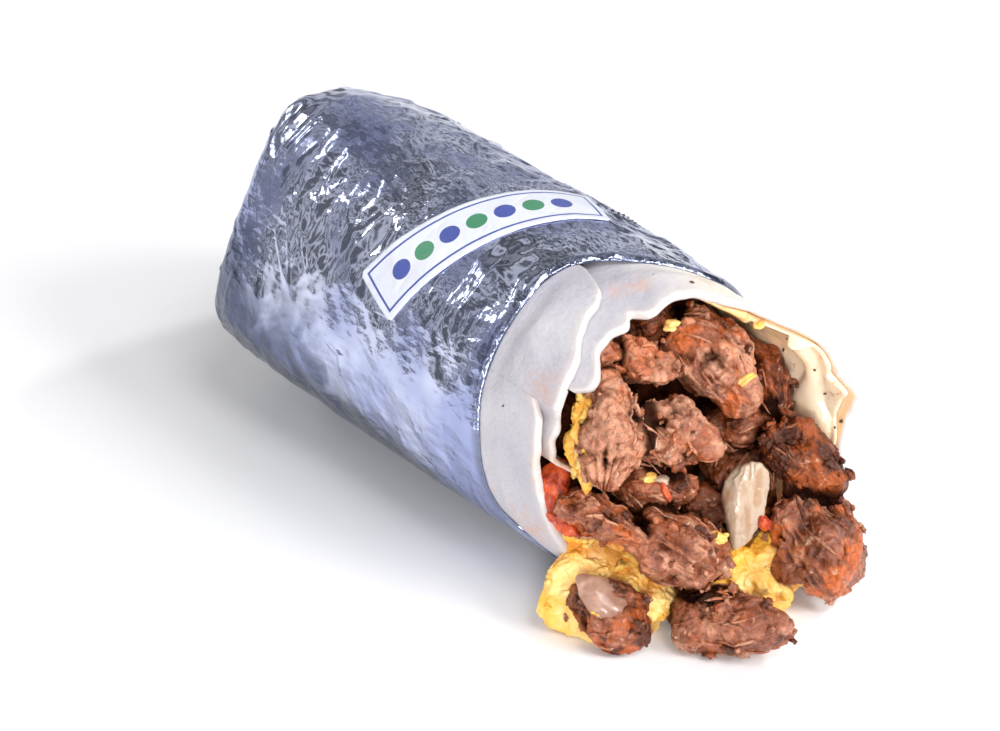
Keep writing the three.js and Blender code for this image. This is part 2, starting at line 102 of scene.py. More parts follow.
def pebbles(points, size, seed):  # distance to the nearest of scattered seeds, one in each cell
    p = points / size
    cell = np.floor(p)
    nearest = np.inf
    for step in product((-1, 0, 1), repeat=3):
        corner = cell + step
        jitter = np.stack([scramble(corner, seed + k) for k in range(3)], -1)
        nearest = np.minimum(nearest, np.linalg.norm(corner + jitter - p, axis=-1))
    return nearest


def facets(u, v, size, seed, base=None):
    # flat triangles between random heights on a triangular lattice, like creased foil;
    # base is the height that they cut across
    skew = (u + v) / size * skewIn
    iu, iv = np.floor(u / size + skew), np.floor(v / size + skew)
    fu, fv = u / size + skew - iu, v / size + skew - iv
    high, low = np.maximum(fu, fv), np.minimum(fu, fv)
    aside = (fu > fv) * 1.0
    total = 0
    for du, dv, weight in ((0, 0, 1 - high), (aside, 1 - aside, high - low), (1, 1, low)):
        cu, cv = iu + du, iv + dv
        total = total + weight * (2 * scramble(np.stack([cu, cv, 0 * cu], -1), seed) - 1)
        if base is not None:
            back = (cu + cv) * skewOut
            total = total + weight * base((cu - back) * size, (cv - back) * size)
    return total if base is None else total - base(u, v)


roll = {
    "length": 142.7, "mouthRadius": 37, "middleRadius": 39.7, "farRadius": 36.7,
    "capLength": 12.1, "capPower": 3, "farPower": 3.465, "squareTurn": -26.7,
    "leanSideways": -0.182, "leanUpwards": 0.105, "farLift": 1, "sink": 0.8,
}
mouthY = -roll["length"] / 2
capStart = roll["length"] - roll["capLength"]
wallRing = circle(72, 2 * math.pi)


def squareRadius(angle, power):  # rounded square of radius 1, angle in radians
    turned = angle - roll["squareTurn"] * degree
    return (np.abs(np.cos(turned)) ** power + np.abs(np.sin(turned)) ** power) ** (-1 / power)


def section(along):  # radius, squareness and height of the centre at a distance along the roll
    s = np.clip(np.asarray(along, float) / roll["length"], -0.25, 1)
    parabola = (roll["mouthRadius"] * (1 - s) * (1 - 2 * s) + roll["middleRadius"] * 4 * s * (1 - s)
                + roll["farRadius"] * s * (2 * s - 1))
    radius = np.where(s < 0, roll["mouthRadius"], parabola)
    power = blend(2, roll["farPower"], ease(0.45, 1, s))
    reach = np.max(-squareRadius(wallRing, power[..., None]) * np.sin(wallRing), axis=-1)
    return s, radius, power, radius * reach - roll["sink"] + roll["farLift"] * ease(0.6, 1, s)


def onRoll(angle, along, offset):  # the point at that angle, distance and offset, in millimetres
    angle, along, offset = np.broadcast_arrays(
        *(np.asarray(value, float) for value in (angle, along, offset)))
    s, radius, power, centre = section(along)
    c = np.clip((along - capStart) / (roll["capLength"] + offset), 0, 1)
    shrink = (1 - c ** roll["capPower"]) ** (1 / roll["capPower"])
    reach = (radius + offset) * squareRadius(angle * degree, power) * shrink
    x, up = reach * np.cos(angle * degree), reach * np.sin(angle * degree)
    lean = (roll["leanSideways"] * x + roll["leanUpwards"] * up) * ease(0.5, 1, s)
    return np.stack([x, mouthY + along - lean, np.maximum(centre + up, -offset)], -1)


def gridFaces(rows, columns, closed, start=0):  # quads between neighbouring rows, joined round where closed
    r = np.arange(rows - 1)[:, None]
    c = np.arange(columns if closed else columns - 1)[None, :]
    n = (c + 1) % columns
    quads = np.stack([r * columns + c, r * columns + n, (r + 1) * columns + n, (r + 1) * columns + c], -1)
    return quads.reshape(-1, 4) + start


def tubeFaces(rings, columns, start=0):
    # closed rings of points and a pole at each end: the first and last point where start is 1,
    # else the last two
    total = rings * columns
    quads, tris = gridFaces(rings, columns, True, start), []
    for first, pole, order in ((start, 0 if start else total, 1), (start + total - columns, total + 1, -1)):
        ring = first + np.arange(columns)
        tris.append(np.stack([np.roll(ring, -1), ring][::order] + [np.full(columns, pole)], -1))
    return quads, joined(tris)


def outwards(points, quads, tris):  # turns all faces over if they enclose a negative volume
    t = joined([quads[:, [0, 1, 2]], quads[:, [0, 2, 3]], tris]).astype(np.int64)
    inward = np.einsum("ij,ij->", points[t[:, 0]], np.cross(points[t[:, 1]], points[t[:, 2]])) < 0
    return (quads[:, ::-1], tris[:, ::-1]) if inward else (quads, tris)


def merged(shells):  # several closed shells as one, each with its faces outwards
    points, quads, tris, start = [], [], [], 0
    for place, *faces in shells:
        place = place.reshape(-1, 3)
        q, t = outwards(place, *faces)
        points.append(place)
        quads.append(q + start)
        tris.append(t + start)
        start += len(place)
    return joined(points), joined(quads), joined(tris)


def makePiece(name, points, quads, tris, material, slot, nodes, attributes=None):
    points = np.asarray(points, float).reshape(-1, 3)
    quads, tris = outwards(points, np.reshape(quads, (-1, 4)), np.reshape(tris, (-1, 3)))
    mesh = bpy.data.meshes.new(name)
    mesh.from_pydata(points * millimetre, [], quads.astype(int).tolist() + tris.astype(int).tolist())
    mesh.shade_smooth()
    for key, values in (attributes or {}).items():
        layer = mesh.attributes.new(key, "FLOAT", "POINT")
        layer.data.foreach_set("value", np.broadcast_to(values, len(points)).astype(np.float32))
    mesh.validate()
    piece = bpy.data.objects.new(name, mesh)
    bpy.context.scene.collection.objects.link(piece)
    mesh.materials.append(material)
    if nodes is not None:
        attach(piece, "root")
        if nodes:
            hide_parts(*nodes)
    return piece


def makeMany(name, points, faces, size, material, slot, looks=None):  # many copies of a small shape
    starts = np.arange(0, len(points), size)[:, None, None]
    return makePiece(name, points, *(part + starts for part in faces), material, slot, [], looks)


def colour(red, green, blue):  # from screen values 0 to 255 to the shader's linear colour
    parts = [c / 255 for c in (red, green, blue)]
    return tuple(c / 12.92 if c <= 0.04045 else ((c + 0.055) / 1.055) ** 2.4 for c in parts) + (1.0,)


class Nodes:  # a short way to wire the nodes of a material or world, with the colours and numbers of its look
    inputs = {"color": "Base Color", "rough": "Roughness", "metal": "Metallic", "bump": "Normal",
              "scatter": "Subsurface Weight", "radius": "Subsurface Radius", "scale": "Subsurface Scale",
              "coat": "Coat Weight", "coatRough": "Coat Roughness", "coatBump": "Coat Normal",
              "specular": "Specular IOR Level"}

    def __init__(self, owner, look, shader="BsdfPrincipled", output="OutputMaterial", place="Object"):
        owner.use_nodes = True
        self.owner, self.look, self.tree = owner, look, owner.node_tree
        self.tree.nodes.clear()
        self.shader = self.add(shader)
        self.tree.links.new(self.shader.outputs[0], self.add(output).inputs["Surface"])
        self.place = self.add("TexCoord").outputs[place]
        self.set(**look.get("surface", {}))

    def put(self, socket, value):  # links a socket, looks a name up as a colour, and sets a number
        if isinstance(value, bpy.types.NodeSocket):
            self.tree.links.new(value, socket)
        else:
            socket.default_value = colour(*self.look[value]) if isinstance(value, str) else value

    def add(self, kind, values=(), **settings):
        node = self.tree.nodes.new("ShaderNode" + kind)
        for key, setting in settings.items():
            setattr(node, key, setting)
        for key, value in dict(values).items():
            self.put(node.inputs[key], value)
        return node

    def set(self, **values):
        for key, value in values.items():
            self.put(self.shader.inputs[self.inputs[key]], value)

    def moved(self, stretch=None, turn=(0, 0, 0)):
        if stretch is None:
            return self.place
        return self.add(
            "Mapping", {"Vector": self.place, "Scale": stretch, "Rotation": turn}).outputs["Vector"]

    def noise(self, scale, detail=4, rough=0.55, distort=0.0, stretch=None, turn=(0, 0, 0)):
        values = {"Scale": scale, "Detail": detail, "Roughness": rough, "Distortion": distort}
        return self.add("TexNoise", {**values, "Vector": self.moved(stretch, turn)}).outputs["Fac"]

    def cells(self, scale, stretch=None, metric="EUCLIDEAN"):
        values = {"Scale": scale, "Vector": self.moved(stretch)}
        return self.add("TexVoronoi", values, distance=metric).outputs["Distance"]

    def attribute(self, name):
        return self.add("Attribute", attribute_name=name).outputs["Fac"]

    def span(self, value, low, high, toLow=0.0, toHigh=1.0, kind="SMOOTHSTEP"):
        return self.add("MapRange", enumerate((value, low, high, toLow, toHigh)),
                        interpolation_type=kind).outputs[0]

    def math(self, kind, a, b=0.0):
        return self.add("Math", {0: a, 1: b}, operation=kind).outputs[0]

    def plus(self, a, b):
        return self.math("ADD", a, b)

    def minus(self, a, b):
        return self.math("SUBTRACT", a, b)

    def times(self, first, *others):
        for other in others:
            first = self.math("MULTIPLY", first, other)
        return first

    def mix(self, share, a, b):
        return self.add("Mix", {0: share, 6: a, 7: b}, data_type="RGBA").outputs[2]

    def spot(self, at, size):  # 1 at a point in millimetres, 0 beyond that size
        away = self.add("VectorMath", {0: self.place, 1: [c * millimetre for c in at]}, operation="DISTANCE")
        return self.span(away.outputs["Value"], size * millimetre, 0.2 * size * millimetre)

    def bump(self, height, distance, strength=1.0, under=None):
        node = self.add("Bump", {"Height": height, "Distance": distance, "Strength": strength})
        if under is not None:
            self.put(node.inputs["Normal"], under)
        return node.outputs[0]


# In the looks, a noise is [scale, detail, roughness, distortion, stretch, turn], and a bump is
# [noise, depth in metres, strength].
# In the foil's look, low and back are painted shade: darker blues below a mottled line near the floor, a
# painted reflection of the shadowed floor, at the front and the rear; edge is painted shade on the folded-in
# front edge and the inside.
foilLook = {
    "metal": (210, 216, 240), "shade": (164, 173, 214), "low": (82, 88, 109), "back": (90, 97, 120),
    "edge": (120, 126, 150), "smooth": 0.14, "crumpled": 0.26, "wrinkle": 0.00032, "grain": 0.00014,
    "surface": {"metal": 1.0},
}


def foilMaterial():  # bright metal in two tints, with painted shade below a mottled line as a painted reflection of the shadowed floor, and wrinkles in patches
    m = Nodes(bpy.data.materials.new("crumpledFoil"), foilLook)
    x, y, z = m.add("SeparateXYZ", {0: m.place}).outputs
    patches = m.span(m.noise(38, 3, 0.5), 0.35, 0.65)
    # painted shade: below a line about 15 to 40 mm up, mottled by noise and rising towards the left back, the
    # colour turns to the low and back blues, a painted reflection of the shadowed floor
    mottled = m.plus(z, m.span(m.noise(90, 3, 0.5, 0.8), 0.35, 0.65, -0.005, 0.005))
    rise = m.times(y, m.span(x, 0.0, -0.03, 0.0, 0.45))  # higher towards the left back
    low = m.span(m.minus(mottled, rise), 0.040, 0.015)
    under = m.mix(m.span(y, -0.02, 0.04), "low", "back")
    tintAndPaintedShade = m.mix(low, m.mix(patches, "metal", "shade"), under)
    # painted shade: where the edge attribute is 1, on the folded-in front edge and the inside, the foil takes
    # the dark edge colour
    m.set(color=m.mix(m.attribute("edge"), tintAndPaintedShade, "edge"),
          rough=m.span(patches, 0, 1, foilLook["smooth"], foilLook["crumpled"]))
    zones = m.span(m.noise(42, 2, 0.5), 0.36, 0.56, 0.15, 1.0)
    flats, small = (m.cells(scale, (1, 0.8, 1), "MANHATTAN") for scale in (230, 560))
    wrinkles = m.times(m.plus(flats, m.times(m.noise(160, 3, 0.5, 0.8), 0.6)), zones)
    m.set(bump=m.bump(m.times(small, zones), foilLook["grain"], 0.8,
                      m.bump(wrinkles, foilLook["wrinkle"], 0.8)))
    return m.owner


labelLook = {
    "paper": (222, 225, 236), "blue": (24, 56, 150), "green": (20, 128, 80), "ink": 0.92,
    "lineInset": 2.0, "lineWidth": 0.6, "discs": 7, "discStep": 7.0, "discRadius": 2.6,
    "surface": {"rough": 0.42, "coat": 0.15, "coatRough": 0.25},
}


def labelMaterial():  # uses the label's own map: U is the distance along it and V across it, in millimetres
    m = Nodes(bpy.data.materials.new("printedLabel"), labelLook)
    u, v, _ = m.add("SeparateXYZ", {0: m.add("UVMap", uv_map="labelMap").outputs["UV"]}).outputs
    across, up, step = m.math("ABSOLUTE", u), m.math("ABSOLUTE", v), labelLook["discStep"]
    inset = m.math("MINIMUM", m.minus(label["halfLength"], across), m.minus(label["halfWidth"], up))
    fromLine = m.math("ABSOLUTE", m.minus(inset, labelLook["lineInset"]))
    line = m.math("LESS_THAN", fromLine, labelLook["lineWidth"] / 2)
    fromDisc = m.plus(m.math("POWER", m.math("PINGPONG", u, step / 2), 2), m.math("POWER", up, 2))
    disc = m.math("LESS_THAN", m.math("SQRT", fromDisc), labelLook["discRadius"])
    disc = m.times(disc, m.math("LESS_THAN", across, step * labelLook["discs"] / 2), labelLook["ink"])
    ink = m.mix(m.math("LESS_THAN", m.math("PINGPONG", u, step), step / 2), "blue", "green")
    m.set(color=m.mix(m.times(line, labelLook["ink"]), m.mix(disc, "paper", ink), "blue"),
          bump=m.bump(m.noise(150, 3, 0.5, 0.6), 0.0012, 0.6))
    return m.owner


# The cream colour laid on by the thin attribute is painted light: the right side is made lighter and creamier
# than the grey flour, as if lit and glowing through.
tortillaLook = {
    "flour": (194, 191, 196), "shade": (176, 173, 183), "rim": (202, 198, 200), "warm": (246, 236, 222),
    "oil": (240, 208, 166), "toast": (214, 146, 92), "speck": (70, 48, 34),
    "stains": [  # place, size, share
        [[-5.9, -56.2, 71.3], 4.5, 0.28], [[-1.7, -59.1, 72.6], 4, 0.32], [[-33, -66, 40], 8, 0.5],
        [[-30, -60, 57], 7, 0.3], [[-36, -60, 22], 9, 0.4], [[33, -84, 48], 9, 0.45], [[30, -78, 56], 8, 0.4],
        [[14, -66, 71], 7, 0.35],
    ],
    "surface": {"radius": (1.0, 0.88, 0.74), "scale": 0.003, "specular": 0.35},
}


def tortillaMaterial():  # clouded flour, painted light on the right side where the thin attribute makes it lighter and creamier, with a pale rim, oil, toasted spots and specks
    m = Nodes(bpy.data.materials.new("flourTortilla"), tortillaLook)
    thin = m.attribute("thin")
    cloudy = m.span(m.noise(55, 4, 0.55, 0.3), 0.35, 0.68, 0, 0.75)
    cloudy = m.plus(cloudy, m.span(m.noise(1100, 3), 0.45, 0.6, 0, 0.25))
    base = m.mix(m.attribute("rim"), m.mix(thin, m.mix(cloudy, "flour", "shade"), "warm"), "rim")
    base = m.mix(m.times(m.attribute("oil"), m.span(m.noise(90, 3, 0.6, 0.5), 0.25, 0.6)), base, "oil")
    toast = m.times(m.span(m.noise(70, 2, 0.5, 0.2), 0.66, 0.80), m.span(m.noise(800, 2), 0.35, 0.55), 0.4)
    base = m.mix(toast, base, "toast")
    broken = m.span(m.noise(420, 4, 0.65, 0.6), 0.36, 0.62)
    for at, size, share in tortillaLook["stains"]:
        base = m.mix(m.times(m.spot(at, size), broken, share), base, "toast")
    specks = m.times(m.span(m.cells(150), 0.02, 0.055, 1.0, 0.0), m.span(m.noise(40, 1), 0.52, 0.60), 0.75)
    soft = m.bump(m.noise(110, 4, 0.55, 0.4), 0.0014, 0.45)
    m.set(color=m.mix(specks, base, "speck"), rough=m.span(cloudy, 0, 1, 0.62, 0.5),
          scatter=m.span(thin, 0, 1, 0.0, 0.7), bump=m.bump(m.noise(1000, 3, 0.6), 0.00022, 0.7, soft))
    return m.owner


# The darkest brown here is the painted shade colour, laid in recesses, contacts and further into the roll.
beefLook = {
    "deep": (28, 10, 5), "dark": (82, 38, 19), "brown": (144, 74, 40), "pink": (206, 144, 112),
    "orange": (204, 98, 30), "fat": (230, 190, 158),
    "surface": {"scatter": 0.2, "radius": (1.0, 0.35, 0.2), "scale": 0.0012, "coatRough": 0.07},
}


def beefMaterial():  # dark, brown and pink by level, with browned fat, pale fat, grain, and painted shade in recesses, creases, contacts and further into the roll
    m = Nodes(bpy.data.materials.new("brownedBeef"), beefLook)
    patches, hollow = m.noise(150, 4, 0.62, 0.9), m.attribute("hollow")
    level = m.plus(m.attribute("tone"), m.times(m.minus(patches, 0.5), 2.4))
    level = m.plus(level, m.times(m.attribute("strings"), 0.34))
    base = m.mix(m.span(level, 0.45, 1.15), m.mix(m.span(level, 0.0, 0.5), "dark", "brown"), "pink")
    base = m.mix(m.times(m.span(m.noise(100, 4, 0.6, 0.9), 0.48, 0.60), m.attribute("fat")), base, "orange")
    base = m.mix(m.times(m.span(m.noise(240, 4, 0.6, 1.6), 0.60, 0.72), 0.7), base, "fat")
    base = m.mix(m.span(m.noise(900, 4, 0.7, 0.4), 0.34, 0.50, 0.6, 0.0), base, "dark")
    coarse = m.bump(m.noise(700, 4, 0.66, 0.6), 0.0008, 0.9)
    # painted shade: where the painted shade attribute is high the colour goes to the darkest brown, and the
    # coat and specular fade
    m.set(color=m.mix(hollow, base, "deep"), rough=m.span(patches, 0.35, 0.65, 0.26, 0.42),
          coat=m.times(m.span(hollow, 0, 0.7, 0.7, 0.0), m.span(level, -0.1, 0.4, 0.25, 1.0)),
          coatBump=m.bump(m.noise(1500, 3, 0.6), 0.0006), specular=m.span(hollow, 0, 0.8, 0.3, 0.03),
          bump=m.bump(m.noise(2400, 2, 0.6), 0.0002, 0.8, coarse))
    return m.owner


filmKeys = ["rough", "scatter", "radius", "scale", "coat", "coatRough"]
plainLooks = {  # two colours in patches, a third by an attribute, the film's values, and bumps, last on top
    "scrambledEgg": {
        # the third, darker orange colour is painted shade, laid by the painted shade attribute at seven
        # tenths
        "first": (255, 188, 68), "second": (255, 216, 136), "third": (222, 138, 44),
        "thirdBy": ["hollow", 0.7],
        "patches": [95, 4, 0.6, 0.6], "span": [0.38, 0.66],
        "bumps": [[[420, 4, 0.6, 0.5], 0.0008, 0.7], [[1800, 2, 0.6], 0.00008, 0.5]],
        "film": [0.42, 0.35, (1.0, 0.6, 0.2), 0.0022, 0.18, 0.25],
    },
    "cheeseSauce": {
        "first": (252, 228, 198), "second": (252, 220, 184), "third": (248, 190, 100), "thirdBy": ["oil", 1],
        "toast": (196, 130, 74), "freckles": [620, 3, 0.6], "frecklePatches": [75, 2],
        "patches": [60, 3, 0.5, 0.4], "span": [0.35, 0.65], "bumps": [[[260, 3, 0.5, 0.3], 0.0007, 0.5]],
        "film": [0.2, 0.3, (1.0, 0.85, 0.65), 0.0012, 0.5, 0.08],
    },
    "cookedOnion": {
        "first": (188, 166, 144), "second": (172, 138, 108),
        "patches": [330, 3, 0.5, 0.6, (1.0, 1.0, 0.3), (0.3, 0.2, 0)], "span": [0.45, 0.68],
        "bumps": [["patches", 0.0005, 0.5]],
        "film": [0.3, 0.45, (1.0, 0.8, 0.6), 0.0025, 0.35, 0.12],
    },
    "redSalsa": {
        "first": (214, 84, 24), "second": (160, 44, 14), "patches": [300, 3, 0.6], "span": [0.4, 0.62],
        "bumps": [[[700, 4, 0.65], 0.0011, 0.8]],
        "film": [0.34, 0.2, (1.0, 0.3, 0.1), 0.001, 0.3, 0.2],
    },
    "cookedFat": {
        # the third, dark brown colour is painted shade, laid by the painted shade attribute
        "first": (168, 130, 112), "second": (196, 160, 140), "third": (120, 70, 48), "thirdBy": ["hollow", 1],
        "patches": [420, 3, 0.5, 0.5, (0.4, 1, 1), (0, 0.6, 1.1)], "span": [0.4, 0.65],
        "bumps": [["patches", 0.0004, 0.5]],
        "film": [0.28, 0.4, (1.0, 0.6, 0.45), 0.002, 0.4, 0.12],
    },
    "blackPepper": {"first": (60, 38, 26), "second": (112, 72, 48), "patches": [1500, 2], "span": [0.4, 0.6],
                    "bumps": [], "film": [0.6]},
}


def plainMaterial(name):  # wires the looks above: colours mixed one over another, then the bumps
    look = plainLooks[name]
    m = Nodes(bpy.data.materials.new(name), look)
    patches = m.noise(*look["patches"])
    base = m.mix(m.span(patches, *look["span"]), "first", "second")
    if "third" in look:
        attribute, share = look["thirdBy"]
        base = m.mix(m.times(m.attribute(attribute), share), base, "third")
    if "freckles" in look:
        small, there = m.noise(*look["freckles"]), m.noise(*look["frecklePatches"])
        base = m.mix(m.times(m.span(small, 0.58, 0.68), m.span(there, 0.46, 0.60), 0.6), base, "toast")
    m.set(color=base, **dict(zip(filmKeys, look["film"])))
    under = None
    for noise, depth, strength in look["bumps"]:
        under = m.bump(patches if noise == "patches" else m.noise(*noise), depth, strength, under)
        m.set(bump=under)
    return m.owner


gap = 0.35
foilWall = 0.9
tortillaWall = 2.2
tortillaUnderFoil = -foilWall - gap
tortillaBare = -0.3
overlapDrop = tortillaWall + gap

foil = {
    "edge": [
        [-100, 10], [-60, 8], [57, 8], [63, 9], [68, 11.5], [76, 14.5], [86, 18], [93, 22], [98, 24],
        [105, 27], [116, 28], [137, 27.5], [158, 27], [178, 25], [196, 24], [207, 22.5], [214, 19],
        [222, 11], [260, 10],
    ],
    "columns": 416, "bodyRows": 186, "capRows": 38, "foldIn": 1.6, "edgeSink": 0.95,
    "innerShares": [0.0, 0.02, 0.06, 0.2, 0.5, 0.8, 1.0], "innerTurns": [20, 40, 60, 78], "innerGap": 0.25,
    "folds": [  # size, height, turn, narrowing
        [30, 0.45, 0.3, 1], [9, 0.56, 0.9, 1], [4.6, 0.44, -0.3, 0.5], [2.7, 0.27, 0.6, 0.55],
    ],
    "flat": 1, "warp": 0.14, "bend": 0.8, "ridge": 0.46, "lowest": -1.0, "highest": 0.85,
    "ridges": [[24, 4.2, 0.0], [19, 4.6, 0.75], [17, 3.8, -0.6]],  # length, spacing, slant
}
label = {"angle": 110, "along": 55, "halfLength": 31, "halfWidth": 8.2, "turn": 23, "corner": 1.2,
         "top": 0.3, "crown": 0.16, "bottom": 0.2, "lowest": -0.15, "columns": 160, "rows": 48}


def wrapAngle(angle):  # the same angle between -100 and 260 degrees
    return (angle + 100) % 360 - 100


def softened(curve, angle, reach):  # the average of a curve over a few degrees to each side
    weights = {-1: 0.17, -0.5: 0.21, 0: 0.24, 0.5: 0.21, 1: 0.17}
    return sum(weight * curve(angle + step * reach) for step, weight in weights.items())


def foilFront(angle):  # where the foil begins along the roll, its edge curve softened
    return softened(lambda a: follow(foil["edge"], wrapAngle(a)), np.asarray(angle, float), 3)


def turned(x, y, angle):  # the same place seen along axes turned by an angle in radians
    return x * math.cos(angle) - y * math.sin(angle), x * math.sin(angle) + y * math.cos(angle)


def onLabel(angle, along):  # millimetres along and across the label from its middle
    around = (label["angle"] - angle) * degree * roll["middleRadius"]
    return turned(around, along - label["along"], label["turn"] * degree)


def crumple(angle, along):  # facets of four sizes on turned and warped lattices, and long narrow ridges
    angle = wrapAngle(angle)
    around = angle * degree * roll["middleRadius"]
    ring = onRoll(angle, along, 0)
    top = ease(40, 75, angle) * ease(150, 118, angle)
    zone = ease(-0.45, 0.4, softNoise(ring, 21, 9))  # crumpled and calmer zones
    zone = np.clip(zone + 0.5 * top * ease(70, 100, along), 0, 1)
    low = ease(196, 222, angle) + 1 - ease(-52, -30, angle)  # the underside is smoother
    total = 0
    shares = (1, 0.9, 0.25 + 0.75 * zone, 0.1 + 0.9 * zone)
    for k, ((size, height, turn, narrow), share) in enumerate(zip(foil["folds"], shares)):
        u, v = turned(around, along, turn)
        u = u + foil["warp"] * size * softNoise(ring, 2.2 * size, 15 + k)
        v = v + foil["warp"] * size * softNoise(ring, 2.3 * size, 25 + k)
        base = None
        if k == foil["flat"]:  # these facets are flat across the roll's own curve
            curve = 2 * roll["middleRadius"] * height
            base = lambda u, v: -turned(u, v, -turn)[0] ** 2 / curve
        total = total + height * facets(u * narrow, v, size, 11 + k, base) * share
    bend = foil["bend"] * softNoise(ring, 15, 41)
    # ridges round the roll near the front edge, slanting ones elsewhere
    nearFront = 1 - ease(14, 26, along - foilFront(angle))
    lines = 0
    for k, (long, short, slant) in enumerate(foil["ridges"]):
        u, v = turned(around, along, slant)
        field = softNoise(np.stack([u / long, v / short + bend, 0 * u], -1), 1, 42 + k)
        there = ease(0.0, 0.5, softNoise(ring + 40 * k, 17, 52 + k))
        share = nearFront if k == 0 else 1 - nearFront
        lines = lines + share * there * ease(0.16, 0, np.abs(field - 0.1))
    return (total + foil["ridge"] * lines) * (1 - 0.8 * np.clip(low, 0, 1))


def foilOffset(angle, along):  # the crumple, calm at the floor, label and front edge, within two limits
    angle = wrapAngle(angle)
    clearOfFloor = ease(20, 48, np.minimum(np.abs(angle + 90), np.abs(angle - 270)))
    clearOfLabel = 0
    for place, half in zip(onLabel(angle, along), (label["halfLength"], label["halfWidth"])):
        clearOfLabel = np.maximum(clearOfLabel, ease(half - 1, half + 4, np.abs(place)))
    inFromEdge = along - foilFront(angle)
    sinkAtEdge = foil["edgeSink"] * (1 - ease(0, foil["foldIn"], inFromEdge))
    calm = clearOfFloor * (0.08 + 0.92 * clearOfLabel) * (0.25 + 0.75 * ease(0.5, 4, inFromEdge))
    middle, reach = (foil["highest"] + foil["lowest"]) / 2, (foil["highest"] - foil["lowest"]) / 2
    return middle + reach * np.tanh((crumple(angle, along) * calm - middle) / reach) - sinkAtEdge


def buildFoil(material):  # rings from the far pole to the front edge outside, and back inside
    angle = circle(foil["columns"])[None, :]
    front = foilFront(angle)
    capTurn = np.linspace(0, 90, foil["capRows"] + 2)[1:-1, None] * degree
    body = blend(front, capStart, np.linspace(0, 1, foil["bodyRows"])[:, None])
    along = joined([body, capStart + roll["capLength"] * np.sin(capTurn) + 0 * angle])
    fade = 1 - ease(0.9, 1, (along - capStart) / roll["capLength"])
    outside = onRoll(angle, along, foilOffset(angle, along) * fade)
    innerTurn = np.array(foil["innerTurns"])[:, None] * degree
    innerBody = blend(front + 0.05, capStart, np.array(foil["innerShares"])[:, None])
    innerCap = capStart + (roll["capLength"] - foilWall) * np.sin(innerTurn) + 0 * angle
    inside = onRoll(angle, joined([innerBody, innerCap]), -foilWall - foil["innerGap"])
    poles = [onRoll(0, roll["length"], 0.0), onRoll(0, roll["length"] - foilWall, -foilWall)]
    points = joined([outside[::-1].reshape(-1, 3), inside.reshape(-1, 3), poles])
    # painted shade: edge is 1 on the inside and at the front edge outside, fading out over about 2 mm, and
    # darkens the foil there
    edge = joined([(1 - ease(0.4, 2.2, along - front))[::-1].ravel(), np.ones(inside.size // 3), [0, 0]])
    quads, tris = tubeFaces(len(outside) + len(inside), foil["columns"])
    return makePiece("foilWrap", points, quads, tris, material, "foil", ["foil_wrap"], {"edge": edge})


def buildLabel(material):  # a thin strip that follows the foil's own dents a little
    n, w = label["columns"], label["rows"]
    across = np.linspace(-1, 1, n)[:, None] * label["halfLength"]
    fromEnd = label["halfLength"] - np.abs(across)
    rounding = label["corner"] / label["halfWidth"] * (1 - ease(0, label["corner"], fromEnd))
    up = np.linspace(-1, 1, w)[None, :] * label["halfWidth"] * (1 - rounding)
    across = across + 0 * up
    around, forward = turned(across, up, -label["turn"] * degree)
    angle, along = label["angle"] - around / (degree * roll["middleRadius"]), label["along"] + forward
    lift = np.maximum(foilOffset(angle, along), label["lowest"])
    edge = np.minimum(fromEnd + 0 * up, label["halfWidth"] - np.abs(up))
    top = onRoll(angle, along, lift + label["top"] + label["crown"] * ease(0, 0.5, edge))
    points = joined([top.reshape(-1, 3), onRoll(angle, along, lift + label["bottom"]).reshape(-1, 3)])
    border = joined([np.arange(w), np.arange(1, n) * w + w - 1, (n - 1) * w + np.arange(w - 2, -1, -1),
                     np.arange(n - 2, 0, -1) * w])
    after = np.roll(border, -1)
    sides = np.stack([after, border, border + n * w, after + n * w], -1)
    quads = joined([gridFaces(n, w, False), gridFaces(n, w, False, n * w)[:, ::-1], sides])
    piece = makePiece("labelStrip", points, quads, [], material, "label", ["label"])
    uv = np.tile(np.stack([across, up], -1).reshape(-1, 2), (2, 1))
    loops = np.zeros(len(piece.data.loops), np.int32)
    piece.data.loops.foreach_get("vertex_index", loops)
    layer = piece.data.uv_layers.new(name="labelMap")
    layer.data.foreach_set("uv", uv[loops].astype(np.float32).ravel())


tortilla = {
    "start": 142.5, "tear": -209, "end": -258, "depth": 40, "lapped": [82, 101],
    "rimBeforeTear": [
        [142.5, 6], [138, 2], [134, 2], [131, 3.5], [125, 6.5], [117, 7], [110, 5], [104, 8], [101, 4.2],
        [92, 4.5], [83, 2.5], [75, 0.5], [69, -2.5], [58, -3.5], [48, -4.5], [41, -9.5], [36, -14.5],
        [28, -15.5], [19, -16], [16, -22.5], [8, -20.6], [0, -19.2], [-17, -19.4], [-28, -21], [-45, -16],
        [-65, -9], [-90, -3], [-115, 1], [-137, 4], [-153, 3], [-162, 3.6], [-167, 4.5], [-174, 6],
        [-181, 7], [-195, 8], [-203, 9], [-209, 12],
    ],
    "rimAfterTear": [
        [-209.2, 5.4], [-219, 6.5], [-228, 8], [-236, 11], [-242, 13], [-249, 13.6], [-254, 15], [-258, 24.6],
    ],
    "columnsBefore": 533, "columnsAfter": 86, "rows": [44, 7, 34],  # rows outside, round the edge and inside
}
cup = {"from": 37, "columns": 96, "bodyRows": 10, "capRows": 7}  # the rest of the sheet, inside the foil
tongue = {"from": 143, "turnIn": 149, "to": 178, "sink": 0.15, "drop": 3.4, "hook": 4.5, "depth": 12,
          "wall": 1.9,
          "rim": [[143, 6.4], [149, 5.6], [155, 6.4], [166, 7], [172, 6.6], [175, 4.5], [178, 0.5]],
          "columns": 90, "rows": [20, 7, 20]}
ripple = {"height": 0.35, "count": 5, "pitch": 9}
flare = {"reach": 2.6, "angle": 24, "spread": 30, "from": 4, "to": -14}
